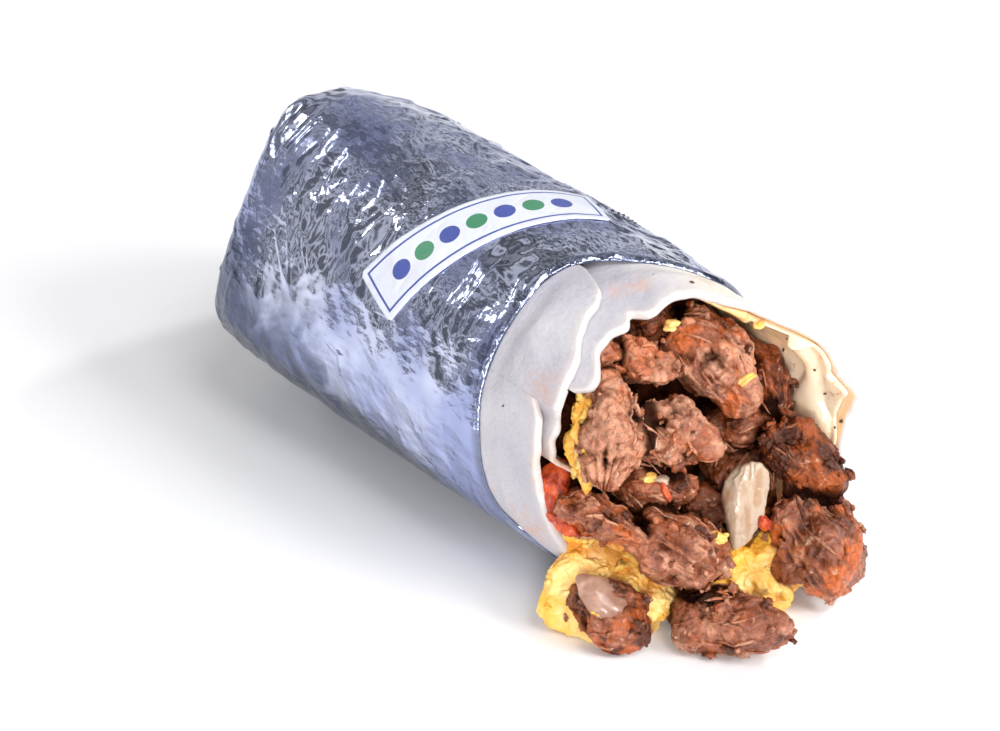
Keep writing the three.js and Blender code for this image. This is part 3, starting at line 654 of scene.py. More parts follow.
edging = {  # of every soft sheet: its rounding, how rows crowd towards it, and noises as size: height
    "nose": 0.9, "crowding": 1.25, "ragged": {2.6: 0.32, 7: 0.4}, "waves": {3.4: 0.10, 9: 0.16},
    "stretch": 0.65,
}


def tortillaOffset(angle, along, under):  # hugs the foil, swells out of it, and lies lower where tucked
    clear = ease(2, 7, foilFront(angle) - along)
    wave = ripple["height"] * clear * np.sin(angle * degree * ripple["count"] + along / ripple["pitch"])
    bell = np.exp(-(((angle - flare["angle"]) / flare["spread"]) ** 2))
    opened = flare["reach"] * bell * (1 - ease(flare["to"], flare["from"], along))
    return (blend(tortillaUnderFoil, tortillaBare - ripple["height"], clear) + wave + opened
            - overlapDrop * under)


def woundOffset(angle, along):  # the outer face of the wound sheet, whose first end is tucked under
    return tortillaOffset(angle, along, ease(*tortilla["lapped"], angle))


def rim(angle):  # where the tortilla begins along the roll, with a step at the tear
    after = softened(lambda a: follow(tortilla["rimAfterTear"], a), angle, 2)
    before = softened(lambda a: follow(tortilla["rimBeforeTear"], a), angle, 2)
    return np.where(angle < tortilla["tear"], after, before)


def softSheet(angles, front, back, outer, inner, counts, seed):
    # rows run from the back up the outer face, round the rounded nose of the edge and down the inner face
    a = angles[None, :]
    nose = edging["nose"]

    def waves(along, layers, seed):
        place = np.stack(np.broadcast_arrays(edging["stretch"] * a, along, 0.0), -1)
        return sum(height * softNoise(place, size, seed + k)
                   for k, (size, height) in enumerate(layers.items()))

    start = front(a) + waves(0.0, edging["ragged"], seed)
    outAlong, inAlong = (blend(start + nose, back, np.linspace(0, 1, count)[:, None] ** edging["crowding"])
                         for count in (counts[0], counts[2]))
    calm = ease(0.5, 4, foilFront(a) - outAlong)
    outOffset = outer(a, outAlong) + waves(outAlong, edging["waves"], seed + 2) * calm
    inOffset = inner(a, inAlong) + waves(inAlong, edging["waves"], seed + 2) * 0.8
    turn = np.linspace(0, 180, counts[1] + 2)[1:-1, None] * degree
    top, bottom = outOffset[:1], inOffset[:1]
    noseAlong = start + nose - nose * np.sin(turn) ** 0.8
    noseOffset = (top + bottom) / 2 + (top - bottom) / 2 * np.cos(turn)
    along = joined([outAlong[::-1], noseAlong, inAlong])
    points = onRoll(a, along, joined([outOffset[::-1], noseOffset, inOffset]))
    innerSide = np.repeat([0, 0.5, 1], counts)[:, None] + 0 * along
    return points, along - start, innerSide


def sheetFaces(rows, columns):
    # an odd number of rows is closed into a loop at the back, and the two ends are closed with strips
    c, r, half = np.arange(columns - 1), np.arange(rows // 2 - 1), rows // 2
    last = (rows - 1) * columns
    quads, tris = [gridFaces(rows, columns, False), np.stack([last + c, last + c + 1, c + 1, c], -1)], []
    for column, step in ((0, 1), (columns - 1, -1)):
        strip = np.stack([r, r + 1, rows - 2 - r, rows - 1 - r], -1) * columns + column
        quads.append(strip[:, ::step])
        tris.append((np.array([half - 1, half, half + 1]) * columns + column)[::step])
    return joined(quads), np.array(tris)


def tuckedOffset(angle, along):  # the outer face of the tongue, which sinks as it turns in and hooks
    t = tongue
    turnedIn = t["turnIn"] + 9
    sunk = t["drop"] * (ease(t["turnIn"], turnedIn, angle) + 0.3 * ease(turnedIn, t["to"], angle))
    return (tortillaOffset(angle, along, 0) - t["sink"] - sunk
            - t["hook"] * ease(t["to"] - 6, t["to"] + 1, angle))


def buildTortilla(material):  # the wound sheet, the tongue tucked in at its start, and the cup in the foil
    angles = joined([np.linspace(tortilla["start"], tortilla["tear"], tortilla["columnsBefore"]),
                     np.linspace(tortilla["tear"] - 0.25, tortilla["end"], tortilla["columnsAfter"])])
    wound = softSheet(angles, rim, tortilla["depth"], woundOffset,
                      lambda angle, along: woundOffset(angle, along) - tortillaWall, tortilla["rows"], 31)
    tucked = softSheet(np.linspace(tongue["from"], tongue["to"], tongue["columns"]),
                       lambda angle: follow(tongue["rim"], angle), tongue["depth"], tuckedOffset,
                       lambda angle, along: tuckedOffset(angle, along) - tongue["wall"], tongue["rows"], 41)
    shells, looks = [], {"rim": [], "oil": [], "thin": []}
    for points, edge, innerSide in (wound, tucked):
        shells.append([points, *sheetFaces(*points.shape[:2])])
        looks["rim"].append((1 - ease(0.2, 2.2, edge)).ravel())
        looks["oil"].append((0.9 * ease(0.5, 1, innerSide) + 0.12 * (1 - ease(0, 5, edge))).ravel())
        # thin is not a thinner sheet: it is 0 on the left and 1 on the right of the roll, and paints the
        # right side lighter as painted light, besides giving it more subsurface scatter
        looks["thin"].append(ease(-5, 22, points[..., 0]).ravel())
    turn, columns = circle(cup["columns"])[None, :], cup["columns"]
    capTurn = np.linspace(0, 90, cup["capRows"] + 2)[1:-1] * degree
    rings, poles = [], []
    for offset, order in ((tortillaUnderFoil, -1), (tortillaUnderFoil - tortillaWall, 1)):
        steps = joined([np.linspace(cup["from"], capStart, cup["bodyRows"]),
                        capStart + (roll["capLength"] + offset) * np.sin(capTurn)])
        rings.append(onRoll(turn, steps[::order, None], offset))
        poles.append(onRoll(0, roll["length"] + offset, offset))
    rings = joined(rings)
    shells.append([joined([rings.reshape(-1, 3), poles]), *tubeFaces(len(rings), columns)])
    plain = np.zeros(len(shells[-1][0]))
    looks = {key: joined(values + [plain]) for key, values in looks.items()}
    return makePiece("tortillaSheet", *merged(shells), material, "tortilla", ["tortilla"], looks)


core = {
    "drop": tortillaUnderFoil - tortillaWall - 1.3 * gap, "narrowing": 4, "topFront": 21,
    "bottomFront": 4, "bump": 1.6, "columns": 300, "faceRows": 70,
    "bodySteps": [*np.linspace(30, 46, 9), 75, 103, capStart], "capTurns": [22, 45, 67],
}
sauce = {
    "from": -22.5, "to": 75, "front": 1.6, "depth": 24, "thin": 1.1, "film": 0.8, "drop": 2.9,
    "run": [[-14, -12], [-4, -11.5], [8, -10], [27, -10.5], [40, -9.7], [47, -6], [60, -1]],  # angle, along
    "width": [[-14, 1.5], [-7, 5], [2, 5.2], [12, 3.4], [22, 1.9], [40, 1.7], [52, 2.6], [62, 3.4]],
    "columns": 260, "rows": [30, 9, 60],
}


def buildCore(material):  # a rough front face of lumps and pebbles, and a plain body behind it
    columns = core["columns"]
    angle = circle(columns)[None, :]
    wide = core["drop"]
    offsetAt = lambda along: wide - core["narrowing"] * (
        1 - ease(tortilla["depth"] + 1, tortilla["depth"] + 5, along))
    share = np.linspace(0.02, 1, core["faceRows"])[:, None]
    a = angle * degree
    height = (1 + share * np.sin(a)) / 2
    lumpy = np.sin(a * 4 + share * 5) * np.cos(share * 9 + a * 3)
    along = blend(core["bottomFront"], core["topFront"], height) + core["bump"] * lumpy + 3 * share ** 4
    centre = section(along)[3]
    face = onRoll(angle, along, offsetAt(along))
    face = np.stack([face[..., 0] * share, face[..., 1], blend(centre, face[..., 2], share)], -1)
    rough = 1.3 * (0.55 - pebbles(face, 5.5, 71)) + 0.5 * softNoise(face, 2.2, 72)
    face[..., 1] -= rough * ease(1.0, 0.93, share)
    steps = np.array(core["bodySteps"])[:, None]
    capTurn = np.array(core["capTurns"])[:, None] * degree
    body = onRoll(angle, steps, offsetAt(steps))
    back = onRoll(angle, capStart + (roll["capLength"] + wide) * np.sin(capTurn), wide)
    rings = joined([face, body, back])
    poles = [[0, face[0, :, 1].mean(), centre[0].mean()], onRoll(0, roll["length"] + wide, wide)]
    points = joined([rings.reshape(-1, 3), poles])
    # painted shade: the rough front face of the packed filling is darkened as the shade between the lumps, at
    # least seven tenths and fully where it is pitted; the body behind stays plain
    hollow = np.zeros(len(points))
    hollow[:rough.size] = ease(0.1, -0.5, rough).ravel() * 0.3 + 0.7
    return makePiece("packedFilling", points, *tubeFaces(len(rings), columns), material, "filling",
                     ["packed_filling"], {"hollow": hollow, "tone": 0.25, "fat": 0.2})


def buildSauce(material):  # a film in patches inside the right wall, with one thick rounded run
    outer = lambda angle, along: woundOffset(angle, along) - tortillaWall - 0.1

    def inner(angle, along):
        place = onRoll(angle, along, -4)
        fade = (ease(sauce["from"] - 2, sauce["from"] + 14, angle)
                * ease(sauce["to"] + 2, sauce["to"] - 16, angle))
        away = ((along + 1.6 * softNoise(place, 7, 63) - follow(sauce["run"], angle))
                / follow(sauce["width"], angle))
        rounded = np.sqrt(np.clip(1 - away ** 2, 0, 1)) * ease(-13, -7, angle) * ease(72, 40, angle)
        pool = (sauce["film"] * ease(-0.5, 0.4, softNoise(place, 9, 61))
                * (1 + 0.4 * softNoise(place, 3.5, 62)))
        return outer(angle, along) - sauce["thin"] - fade * np.maximum(sauce["drop"] * rounded, pool)

    angles = np.linspace(sauce["from"], sauce["to"], sauce["columns"])
    front = lambda angle: rim(angle) + sauce["front"] + 1.2 * np.sin(angle / 5.5)
    points, edge, _ = softSheet(angles, front, sauce["depth"], outer, inner, sauce["rows"], 51)
    oil = 0.3 * ease(10, 40, angles) * ease(-2, 5, edge - 2) + 0.7 * ease(44, 60, angles)
    return makePiece("cheeseSauce", points, *sheetFaces(*points.shape[:2]), material, "sauce",
                     ["cheese_sauce"], {"oil": oil.ravel()})


kindKeys = ["facets", "rough", "clump", "fold", "foldSize", "torn", "strings", "grain", "taper"]
kinds = {  # of the surface of each kind: torn is the height of one torn layer, strings that of the fibres
    "beef": [6, 0.105, 1.1, 0.8, 4.2, 0.38, 0.34, 0.2, 0],
    "egg": [4, 0.15, 1.0, 0.9, 4.2, 0.42, 0.0, 0.26, 0],
    "onion": [3, 0.05, 0.25, 0.1, 4.0, 0.1, 0.16, 0.05, 0.42],
    "salsa": [3, 0.12, 0.9, 0.6, 3.0, 0.3, 0.0, 0.3, 0],
    "fat": [0, 0.04, 0.4, 0.3, 5.0, 0.1, 0.2, 0.05, 0],
}
# strands that part towards one end
fingers = {"beef_left": {"count": 15, "height": 1.3, "from": -0.2, "to": -0.75}}
steep = [31, 59, 17]  # the commonest way that a piece lies
plainTone = [0.5, 0.3]
lumps = {
    # at, half sizes, [heading, pitch, roll], seed, and for beef its tone, from 0 for dark brown to 1 for
    # pink, and how much browned fat is on it
    "onion": [[4.4, -89.8, 26.4], [10.4, 4.6, 3.2], steep, 3],
    "beef_far_right": [[20.4, -99, 14.6], [13.4, 11.6, 11.6], [-71, -42, 48], 11, [0.4, 0.95]],
    "beef_floor_front": [[-11, -101.4, 8.4], [12.8, 8.4, 8.2], [-42, -3, 60], 12, [0.55, 0.3]],
    "beef_floor_left": [[-26.6, -81, 8.2], [11.4, 8.6, 8], [-55, -14, 57], 13, [0.2, 0.6]],
    "beef_lower": [[-12.8, -88.6, 20.2], [14, 8, 8], [-58, -28, 55], 14, [0.45, 0.25]],
    "beef_middle": [[-8.3, -79.1, 44.6], [9.8, 8.2, 8], [-67, -38, 51], 15, [0.7, 0.35]],
    "egg_front": [[5.2, -92, 7.4], [10.8, 8.6, 6.6], [-94, -50, 31], 31],
    "beef_top": [[12.6, -69.3, 52], [12.4, 10.4, 9], [-71, -42, 48], 16, [0.75, 0.8]],
    "beef_left": [[-20.4, -71.8, 49], [12.4, 8, 7], steep, 17, [0.9, 0.6]],
    "beef_right": [[22.2, -89.2, 31.4], [10.8, 7, 7.2], [-64, -35, 52], 18, [-0.35, 0.5]],
    "beef_long": [[-27.6, -74.6, 30.2], [11.8, 4.4, 5.2], [-51, -19, 58], 19, [0.5, 0.7]],
    "egg_floor": [[-24.4, -77.2, 9.6], [16, 9.6, 8], [-42, -10, 59], 32],
    "egg_lip": [[-24.4, -67.6, 22.2], [10.4, 5, 5.2], [-53, -21, 58], 33],
    "beef_onion_back": [[17.4, -77.2, 22.4], [12.4, 9.4, 8.2], steep, 20, [0.4, 0.1]],
    "beef_under_top": [[18.4, -73.4, 36.4], [8.6, 6, 6.6], [-35, 9, 60], 21, [0.35, 0.4]],
    "beef_centre_left": [[-13, -74.6, 32], [10.4, 6.6, 7], [-49, -16, 59], 22, [0.45, 0.15]],
    "beef_strip": [[-7.4, -64.8, 57.6], [8.4, 5, 5.4], [-44, -7, 60], 23, [0.8, 0.5]],
    "beef_back_right": [[27, -75, 41.6], [12.6, 5.4, 5.4], [-102, -57, 24], 24, [0.05, 0.4]],
    "beef_back_top": [[2.6, -55.4, 61.6], [9.4, 6.8, 7], [-32, 13, 59], 25, [0.0, 0.25]],
    "egg_left": [[-24.6, -68.2, 47.2], [10.4, 4, 4.4], steep, 34],
    "beef_gap": [[3.8, -76.4, 17.6], [7, 6, 6.4], [-40, 0, 60], 26, [0.25, 0.1]],
    "beef_floor_small": [[-10, -85.2, 5], [6.4, 4.8, 5.2], [-45, -9, 60], 27, [0.3, 0.2]],
    "beef_back_left": [[-15.4, -60.8, 60.6], [6, 4.6, 5], steep, 28, [0.5, 0.3]],
}
bits = {  # small extras: at, half sizes, [heading, pitch, roll], seed, kind
    "tomato_bit": [[6.6, -93.6, 23.2], [1.8, 1.4, 1.3], [-60, -40, 20], 41, "salsa"],
    "egg_bit_top": [[3.3, -64.7, 62.8], [1.7, 1.4, 1.2], [-30, 10, 0], 42, "egg"],
    "egg_bit_middle": [[12.7, -79.6, 51.8], [2.3, 0.9, 0.9], [-40, 35, 0], 43, "egg"],
    "egg_bit_centre": [[-15.4, -78, 36.4], [1.6, 1.2, 1.2], [-40, 10, 0], 44, "egg"],
    "onion_bit": [[-13.6, -79.8, 36], [2.2, 1.3, 1.0], [-35, -12, 0], 45, "onion"],
    "egg_bit_low": [[-7.0, -91.6, 23.6], [2.6, 1.7, 1.5], [-40, 0, 0], 46, "egg"],
    "egg_bit_floor": [[-34, -83, 11.6], [1.3, 1.0, 1.0], [-40, 0, 0], 47, "egg"],
    "egg_bit_wall": [[22.4, -73.6, 60.6], [1.8, 1.3, 1.0], [40, 30, 0], 48, "egg"],
    "fat_strip": [[-31.0, -81.6, 12.0], [7.4, 4.6, 3.0], [-63, -34, 20], 49, "fat"],
    "orange_shred": [[-13.9, -82.2, 34.2], [2.3, 0.7, 0.7], [-88, -52, 0], 50, "salsa"],
    "salsa_smear": [[-31.5, -63, 32], [6.2, 4.2, 3.4], steep, 51, "salsa"],
    "salsa_edge": [[-33.6, -70.5, 27.6], [4.4, 1.7, 1.5], [-51, -30, 0], 52, "salsa"],
}
specks = {  # ground pepper: place and size
    "places": [[29.1, -75.7, 51.9], [31.7, -78.9, 42.7], [32.7, -83.5, 43.6], [33.3, -85.8, 43.1],
               [34.6, -90.2, 37.2], [34.0, -89.0, 35.3], [-35.6, -52, 51], [7.5, -66.2, 73.1],
               [28.2, -77.5, 56], [31, -84, 49.5]],
    "sizes": [0.55, 0.8, 0.5, 0.45, 0.55, 0.4, 0.35, 0.5, 0.4, 0.35],
    "shape": [1, 0.75, 0.55], "uneven": [0.2, 0.15, 0.11], "grid": [4, 8], "seed": 3,
}
crumbShape = {"shape": [1.3, 0.9, 0.7], "uneven": 0.25, "grid": [5, 9], "out": 0.3}
strand = {"steps": 10, "sides": 5, "reach": [0.18, 0.42], "thick": [0.2, 0.46], "lift": 0.55, "tip": 0.85}


def dice(seed):  # repeatable random numbers from 0 to 1
    state = (seed * scatterer["seed"]) & scatterer["bits"]
    while True:
        state = (state * dicePace["times"] + dicePace["plus"]) & scatterer["bits"]
        yield state / dicePace["range"]


def randomDirection(rolls):  # an even draw of height and turn on a ball
    up, turn = 2 * next(rolls) - 1, 2 * math.pi * next(rolls)
    level = math.sqrt(1 - up * up)
    return np.array([level * math.cos(turn), level * math.sin(turn), up])


def lumpReach(direction, seed, kind):  # radius of a lump of size 1: a ball cut by facets, times slow bumps
    rolls = dice(seed)
    inverse, swell = 1.0, 1.0
    for _ in range(kind["facets"]):
        normal = randomDirection(rolls)
        inverse = inverse + (np.maximum(direction @ normal, 0) / (0.62 + 0.3 * next(rolls))) ** 7
    for i in range(7):
        wave = randomDirection(rolls) * (2.5 + 1.1 * i)
        swell = swell + kind["rough"] / (1 + 0.35 * i) * np.sin(direction @ wave + 2 * math.pi * next(rolls))
    return 1.06 * inverse ** (-1 / 7) * swell


def lumpAxes(turns):  # the axes ahead, to the side and across of a lump with that heading, pitch and roll
    heading, pitch, turn = [t * degree for t in turns]
    flat = np.array([math.cos(heading), math.sin(heading), 0])
    ahead = flat * math.cos(pitch) + np.array([0, 0, math.sin(pitch)])
    level = np.array([-flat[1], flat[0], 0])
    side = level * math.cos(turn) + np.cross(ahead, level) * math.sin(turn)
    return np.array([ahead, side, np.cross(ahead, side)])


def keepInside(points):
    # draws points that would pass through the tortilla back to its inner face, and lifts them off the table
    x, y, z = points[..., 0], points[..., 1], points[..., 2]
    along = y - mouthY
    _, radius, _, centre = section(along)
    angle = np.arctan2(z - centre, x) / degree
    reach = np.hypot(x, z - centre)
    wall = radius + woundOffset(angle, along) - tortillaWall - 0.25
    tucked = (angle > 140) & (angle < 180)
    wall = np.where(tucked, wall - 2.2 * ease(140, 150, angle) * (1 - ease(176, 180, angle)), wall)
    limit = wall + 60 * ease(1.0, -2.5, along - rim(np.where(angle > tortilla["start"], angle - 360, angle)))
    over = np.maximum(reach - limit, 0)
    shrink = np.where(reach > limit, (limit - 0.35 * (1 - np.exp(-over))) / np.maximum(reach, 1e-6), 1)
    x, z = x * shrink, centre + (z - centre) * shrink
    soft = np.where(z < 1.2, 0.12 + 1.08 * np.exp(np.minimum(z - 1.2, 0) / 1.08), z)
    return np.stack([x, y, soft], -1)


def lumpSkin(name, direction):  # the surface in those directions: points, relief, creases, strings
    at, half, turns, seed = (lumps.get(name) or bits[name])[:4]
    kind = dict(zip(kindKeys, kinds[name.split("_")[0] if name in lumps else bits[name][4]]))
    scale = 1 if name in lumps else 0.22 * min(half)  # small extras have small dents
    local = direction * lumpReach(direction, seed, kind)[:, None] * half
    shift = local + seed * 31.7
    noise = lambda points, size, k: softNoise(points, size, seed + k)
    warp = np.stack([1.5 * noise(shift, 3.6, k) + 0.6 * noise(shift, 1.6, 10 + k) for k in range(3)], -1)
    crossing = np.abs(noise(shift + warp, kind["foldSize"], 61))
    level = 2.4 * noise(shift + 0.8 * warp, 3.1, 64) + 0.5 * noise(shift, 1.1, 65)
    fibrous = ease(-0.35, 0.15, noise(shift, 7, 66))
    strings = 1 - 2.2 * np.abs(noise((shift + 0.55 * warp) * [0.16, 1, 1], 1.25, 80))
    small = np.abs(noise(shift + 0.5 * warp, 1.7, 62))
    relief = (kind["clump"] * noise(shift + warp, 5.4, 60)
              + kind["fold"] * (crossing ** 0.8 - 0.38)
              + kind["torn"] * (np.floor(level) + ease(0, 0.3, level - np.floor(level)))
              + kind["grain"] * (1.6 * (small - 0.3) + noise(shift, 0.8, 63)) * (1.25 - 0.6 * fibrous)
              + kind["strings"] * strings * fibrous)
    if name in fingers:
        f = fingers[name]
        around = np.arctan2(direction[:, 2], direction[:, 1])
        groove = np.abs(np.sin(around * f["count"] / 2 + 1.5 * direction[:, 0])) ** 0.6
        relief = relief + f["height"] * (groove - 0.7) * ease(f["from"], f["to"], direction[:, 0])
    local = local + unit(direction / half) * (scale * (relief - 0.1))[:, None]
    local[:, 1:] *= 1 + kind["taper"] * local[:, :1] / max(half)  # narrows towards its lower end
    return keepInside(local @ lumpAxes(turns) + at), relief, crossing, strings * fibrous


def nearOthers(name, points):  # 1 where another lump touches, 0 beyond a few millimetres, towards its middle
    touch = np.zeros(len(points))
    for other, (at, half, turns, *_) in lumps.items():
        if other != name:
            away = points - at
            scaled = np.linalg.norm(away @ lumpAxes(turns).T / half, axis=-1)
            apart = np.linalg.norm(away, axis=-1) * (1 - 1 / np.maximum(scaled, 0.01))
            alike = other.split("_")[0] == name.split("_")[0]
            touch = np.maximum(touch, ease(3.2, 0.6, apart) * (1 if alike else 0.3))
    return touch


def toneOf(name):  # the tone and the browned fat of a lump
    return lumps[name][4] if len(lumps.get(name, [])) > 4 else plainTone


def camel(name):  # beef_top becomes beefTop, and a single word gets Strip
    first, *rest = (name if "_" in name else name + "_strip").split("_")
    return first + "".join(word.capitalize() for word in rest)


def ballGrid(rows, columns):  # directions on a ball from pole to pole, and the faces between them
    up = np.linspace(0, math.pi, rows + 2)[1:-1, None]
    turn = circle(columns, 2 * math.pi)[None, :]
    rings = np.stack([np.cos(up) + 0 * turn, np.sin(up) * np.cos(turn), np.sin(up) * np.sin(turn)], -1)
    return joined([[[1, 0, 0]], rings.reshape(-1, 3), [[-1, 0, 0]]]), tubeFaces(rows, columns, 1)


def buildLump(name, material, slot, nodes):  # painted shade in recesses, creases, where other lumps touch and further into the roll
    columns = int(62 + 14 * max(lumps[name][1])) if name in lumps else 48
    direction, faces = ballGrid(int(columns * 0.56), columns)
    points, relief, crossing, strings = lumpSkin(name, direction)
    # painted shade: darker where the relief is low, along creases, where another lump touches, and the
    # further the lump sits in the roll
    deep = ease(4, 20, points[:, 1] - mouthY)
    hollow = (0.8 * ease(-0.1, -1.4, relief) + 0.25 * ease(0.12, 0.0, crossing)
              + 0.95 * nearOthers(name, points) + 0.5 * deep)
    tone, fat = toneOf(name)
    looks = {"hollow": np.clip(hollow, 0, 1), "tone": tone, "fat": fat, "strings": strings}
    return makePiece(camel(name), points, *faces, material, slot, nodes, looks)


def unevenBalls(rng, look, sizes):  # for each size a small uneven ball, turned its own way, and its faces
    ball, faces = ballGrid(*look["grid"])
    turns = np.linalg.qr(rng.normal(size=(len(sizes), 3, 3)))[0]
    uneven = look["uneven"] * rng.normal(size=(len(sizes), len(ball), 1))
    return ball * (look["shape"] + uneven) * np.reshape(sizes, (-1, 1, 1)) @ turns, faces


def buildSpecks(material, slot):  # flat little balls
    balls, faces = unevenBalls(np.random.default_rng(specks["seed"]), specks, specks["sizes"])
    points = balls + np.array(specks["places"])[:, None]
    return makeMany("pepperSpecks", points.reshape(-1, 3), faces, balls.shape[1], material, slot)


def buildCrumbs(name, names, each, low, high, material, slot, seed):
    # little uneven balls, each a stretched ball sunk a third into the skin of a lump
    rng = np.random.default_rng(seed)
    points, tone = [], []
    for lump in names:
        count = int(each * max(lumps[lump][1]) / 10)
        at = lumpSkin(lump, unit(rng.normal(size=(count, 3))))[0]
        size = low + (high - low) * rng.random((count, 1)) ** 2
        balls, faces = unevenBalls(rng, crumbShape, size)
        middle = at + unit(at - lumps[lump][0]) * size * crumbShape["out"]
        points.append(keepInside((balls + middle[:, None]).reshape(-1, 3)))
        tone.append(np.repeat(toneOf(lump)[0] + 0.35 * rng.normal(size=count), balls.shape[1]))
    looks = {"hollow": 0, "tone": joined(tone), "fat": 0.35, "strings": 0}
    return makeMany(name, joined(points), faces, balls.shape[1], material, slot, looks)


def buildStrands(name, names, each, material, slot, seed):
    # thin fibres: an arc over the skin of a lump, with a few points round each step and pinched ends
    rng = np.random.default_rng(seed)
    steps, sides = strand["steps"], strand["sides"]
    size = steps * sides + 2
    s = np.linspace(-1, 1, steps)[None, :, None]
    turn = circle(sides, 2 * math.pi)[:, None]
    points, tone = [], []
    for lump in names:
        count = int(each * max(lumps[lump][1]) / 10)
        start, aim = rng.normal(size=(2, count, 3))
        start[:, 1:] *= 1.6
        aim[:, 0] += 1.2 * np.sign(aim[:, 0])
        reach = blend(*strand["reach"], rng.random((count, 1, 1)))
        direction = unit(unit(start)[:, None] + unit(aim)[:, None] * s * reach)
        path = lumpSkin(lump, direction.reshape(-1, 3))[0].reshape(count, steps, 3)
        away = unit(path - lumps[lump][0])
        smooth = path.copy()
        smooth[:, 1:-1] = (path[:, :-2] + path[:, 1:-1] + path[:, 2:]) / 3
        thick = blend(*strand["thick"], rng.random((count, 1, 1)) ** 1.5)
        lift = strand["lift"] * thick + 0.5 * thick * rng.random((count, 1, 1)) * (1 - s ** 2)
        along = unit(np.gradient(smooth, axis=1))
        side = unit(np.cross(along, away))
        ring = side[:, :, None] * np.cos(turn) + np.cross(side, along)[:, :, None] * np.sin(turn)
        radius = thick * (1 - strand["tip"] * s ** 4)
        rings = (smooth + away * lift)[:, :, None] + radius[:, :, None] * ring
        tips = (smooth + away * lift * 0.6)[:, [0, -1]]
        strands = joined([tips[:, :1], rings.reshape(count, -1, 3), tips[:, 1:]], 1)
        points.append(keepInside(strands.reshape(-1, 3)))
        tone.append(np.repeat(toneOf(lump)[0] + 0.25 + 0.3 * rng.normal(size=count), size))
    looks = {"hollow": 0, "tone": joined(tone), "fat": 0.4, "strings": 0.5}
    return makeMany(name, joined(points), tubeFaces(steps, sides, 1), size, material, slot, looks)


foilPiece = buildFoil(foilMaterial())
print("foil:", len(foilPiece.data.polygons), "faces")
buildLabel(labelMaterial())
tortillaPiece = buildTortilla(tortillaMaterial())
print("tortilla:", len(tortillaPiece.data.polygons), "faces")
skins = {"beef": [beefMaterial(), "beef"], "egg": [plainMaterial("scrambledEgg"), "egg"],
         "onion": [plainMaterial("cookedOnion"), "onion"], "salsa": [plainMaterial("redSalsa"), "sauce"],
         "fat": [plainMaterial("cookedFat"), "beef"]}
buildCore(skins["beef"][0])
buildSauce(plainMaterial("cheeseSauce"))
for name in lumps:
    buildLump(name, *skins[name.split("_")[0]], [name])
for name in bits:
    buildLump(name, *skins[bits[name][4]], [])
buildSpecks(plainMaterial("blackPepper"), "filling")
print("loose pieces:", len(lumps))
beefNames, eggNames = ([name for name in lumps if name.startswith(kind)] for kind in ("beef", "egg"))
buildCrumbs("beefCrumbs", beefNames, 34, 0.45, 1.5, *skins["beef"], 5)
buildCrumbs("eggCrumbs", eggNames, 24, 0.5, 1.5, *skins["egg"], 6)
buildStrands("beefStrands", beefNames, 20, *skins["beef"], 7)
print("crumbs and strands ready")


studio = {
    "floor": (250, 250, 251), "floorHalf": 3000, "worldStrength": 0.75,
    "lights": {  # azimuth and elevation in degrees, distance and size in metres, power in watts
        "keyLight": [290, 34, 2.6, 0.95, 38.0], "topLight": [262, 57, 2.6, 1.10, 21.0],
        "sideLight": [328, 46, 2.6, 0.28, 16.0], "fillLight": [230, 22, 2.6, 0.80, 17.0],
        "backLight": [106, 32, 2.6, 0.60, 6.0], "lowLight": [222, 9, 0.85, 0.20, 2.8],
        "sparkLight": [300, 52, 2.6, 0.10, 1.3], "glintLight": [242, 36, 2.6, 0.10, 0.7],
    },
    "target": [0, -0.03, 0.035],
    "surroundAxis": (-0.84, 0.22, 0.50), "surroundFrom": -0.45, "surroundTo": 0.95, "surroundBlue": 1.02,
    "surround": [  # bright and dark bands round the studio, from the right to the back left: position, light
        [0.0, 0.15], [0.03, 1.0], [0.10, 1.0], [0.13, 0.1], [0.17, 0.1], [0.20, 1.0], [0.27, 1.0],
        [0.31, 0.1], [0.36, 0.1], [0.40, 0.95], [0.46, 0.8], [0.50, 0.08], [0.56, 0.08], [0.60, 0.45],
        [0.66, 0.4], [0.70, 0.08], [0.75, 0.1], [0.78, 0.9], [0.835, 0.8], [0.86, 0.12], [0.90, 0.12],
        [0.92, 0.9], [0.96, 0.9], [0.985, 0.2],
    ],
    "cameraAt": [-0.2797, -0.34185, 0.2801], "cameraAzimuth": 230, "cameraElevation": 30,
    "lens": 72, "sensor": 36,
}


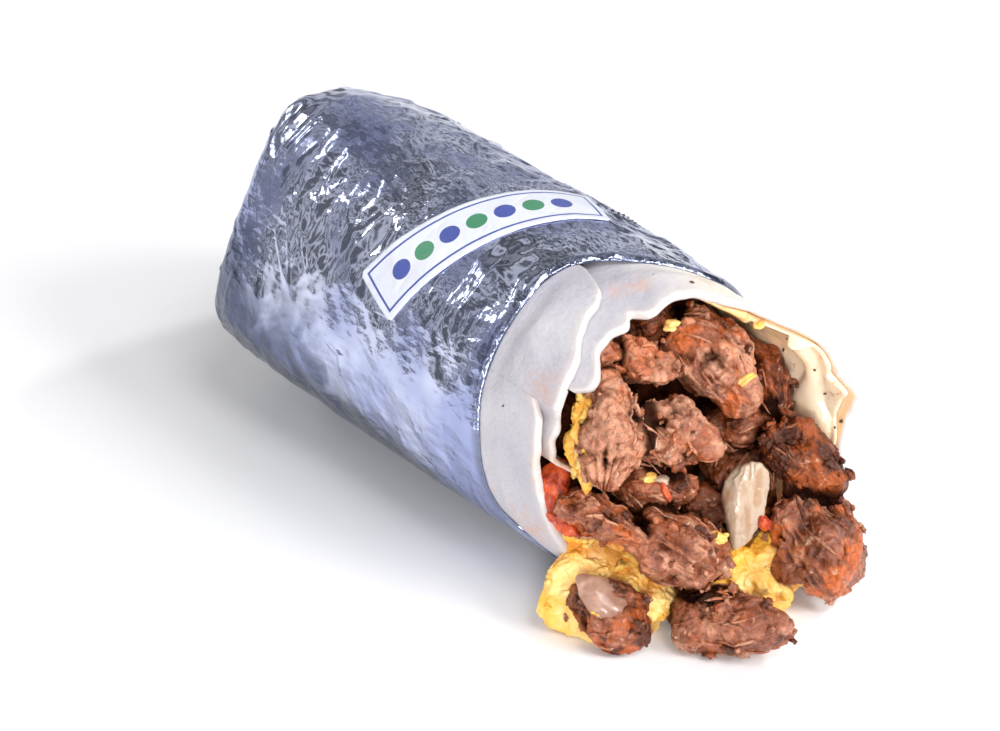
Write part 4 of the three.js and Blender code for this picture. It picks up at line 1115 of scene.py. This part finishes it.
def buildFloor():  # one square
    m = Nodes(bpy.data.materials.new("paleFloor"), studio)
    m.set(color="floor", rough=0.9, specular=0.1)
    corners = [[x, y, 0] for x, y in ((-1, -1), (1, -1), (1, 1), (-1, 1))]
    floor = makePiece("studioFloor", np.array(corners) * studio["floorHalf"], [[0, 1, 2, 3]], [],
                      m.owner, None, None)


def towards(azimuth, elevation):  # a direction from the object, in degrees
    turn, tilt = azimuth * degree, elevation * degree
    return np.array([math.cos(turn) * math.cos(tilt), math.sin(turn) * math.cos(tilt), math.sin(tilt)])


def aimed(name, data, back, place):  # a light or camera at a place, looking away from the direction back
    thing = bpy.data.objects.new(name, data)
    right = unit(np.cross([0, 0, 1], back))
    up = np.cross(back, right)
    thing.matrix_world = Matrix([[right[i], up[i], back[i], place[i]] for i in range(3)] + [[0, 0, 0, 1]])
    bpy.context.scene.collection.objects.link(thing)
    return thing


def buildLights():  # round lights on a ball about the target
    for name, (azimuth, elevation, distance, size, power) in studio["lights"].items():
        data = bpy.data.lights.new(name, "AREA")
        data.shape, data.size, data.energy = "DISK", size, power
        back = towards(azimuth, elevation)
        aimed(name, data, back, studio["target"] + back * distance)


def buildSurround():  # the world's light, in bands along one axis
    world = bpy.data.worlds.new("studioSurround")
    m = Nodes(world, studio, "Background", "OutputWorld", "Generated")
    dot = m.add("VectorMath", {0: m.place, 1: studio["surroundAxis"]},
                operation="DOT_PRODUCT").outputs["Value"]
    ramp = m.add("ValToRGB", {0: m.span(dot, studio["surroundFrom"], studio["surroundTo"], kind="LINEAR")})
    stops = ramp.color_ramp.elements
    while len(stops) < len(studio["surround"]):
        stops.new(0.5)
    for stop, (position, light) in zip(stops, studio["surround"]):
        stop.position, stop.color = position, (light, light, light * studio["surroundBlue"], 1)
    m.put(m.shader.inputs["Color"], ramp.outputs[0])
    m.put(m.shader.inputs["Strength"], studio["worldStrength"])
    bpy.context.scene.world = world
    bpy.context.scene.view_settings.view_transform = "Standard"


def buildCamera():  # three-quarter view from the front left, looking down 30 degrees
    data = bpy.data.cameras.new("studioCamera")
    data.lens, data.sensor_width = studio["lens"], studio["sensor"]
    back = towards(studio["cameraAzimuth"], studio["cameraElevation"])
    bpy.context.scene.camera = aimed("studioCamera", data, back, studio["cameraAt"])


buildFloor()
buildLights()
buildSurround()
buildCamera()
print("studio ready")
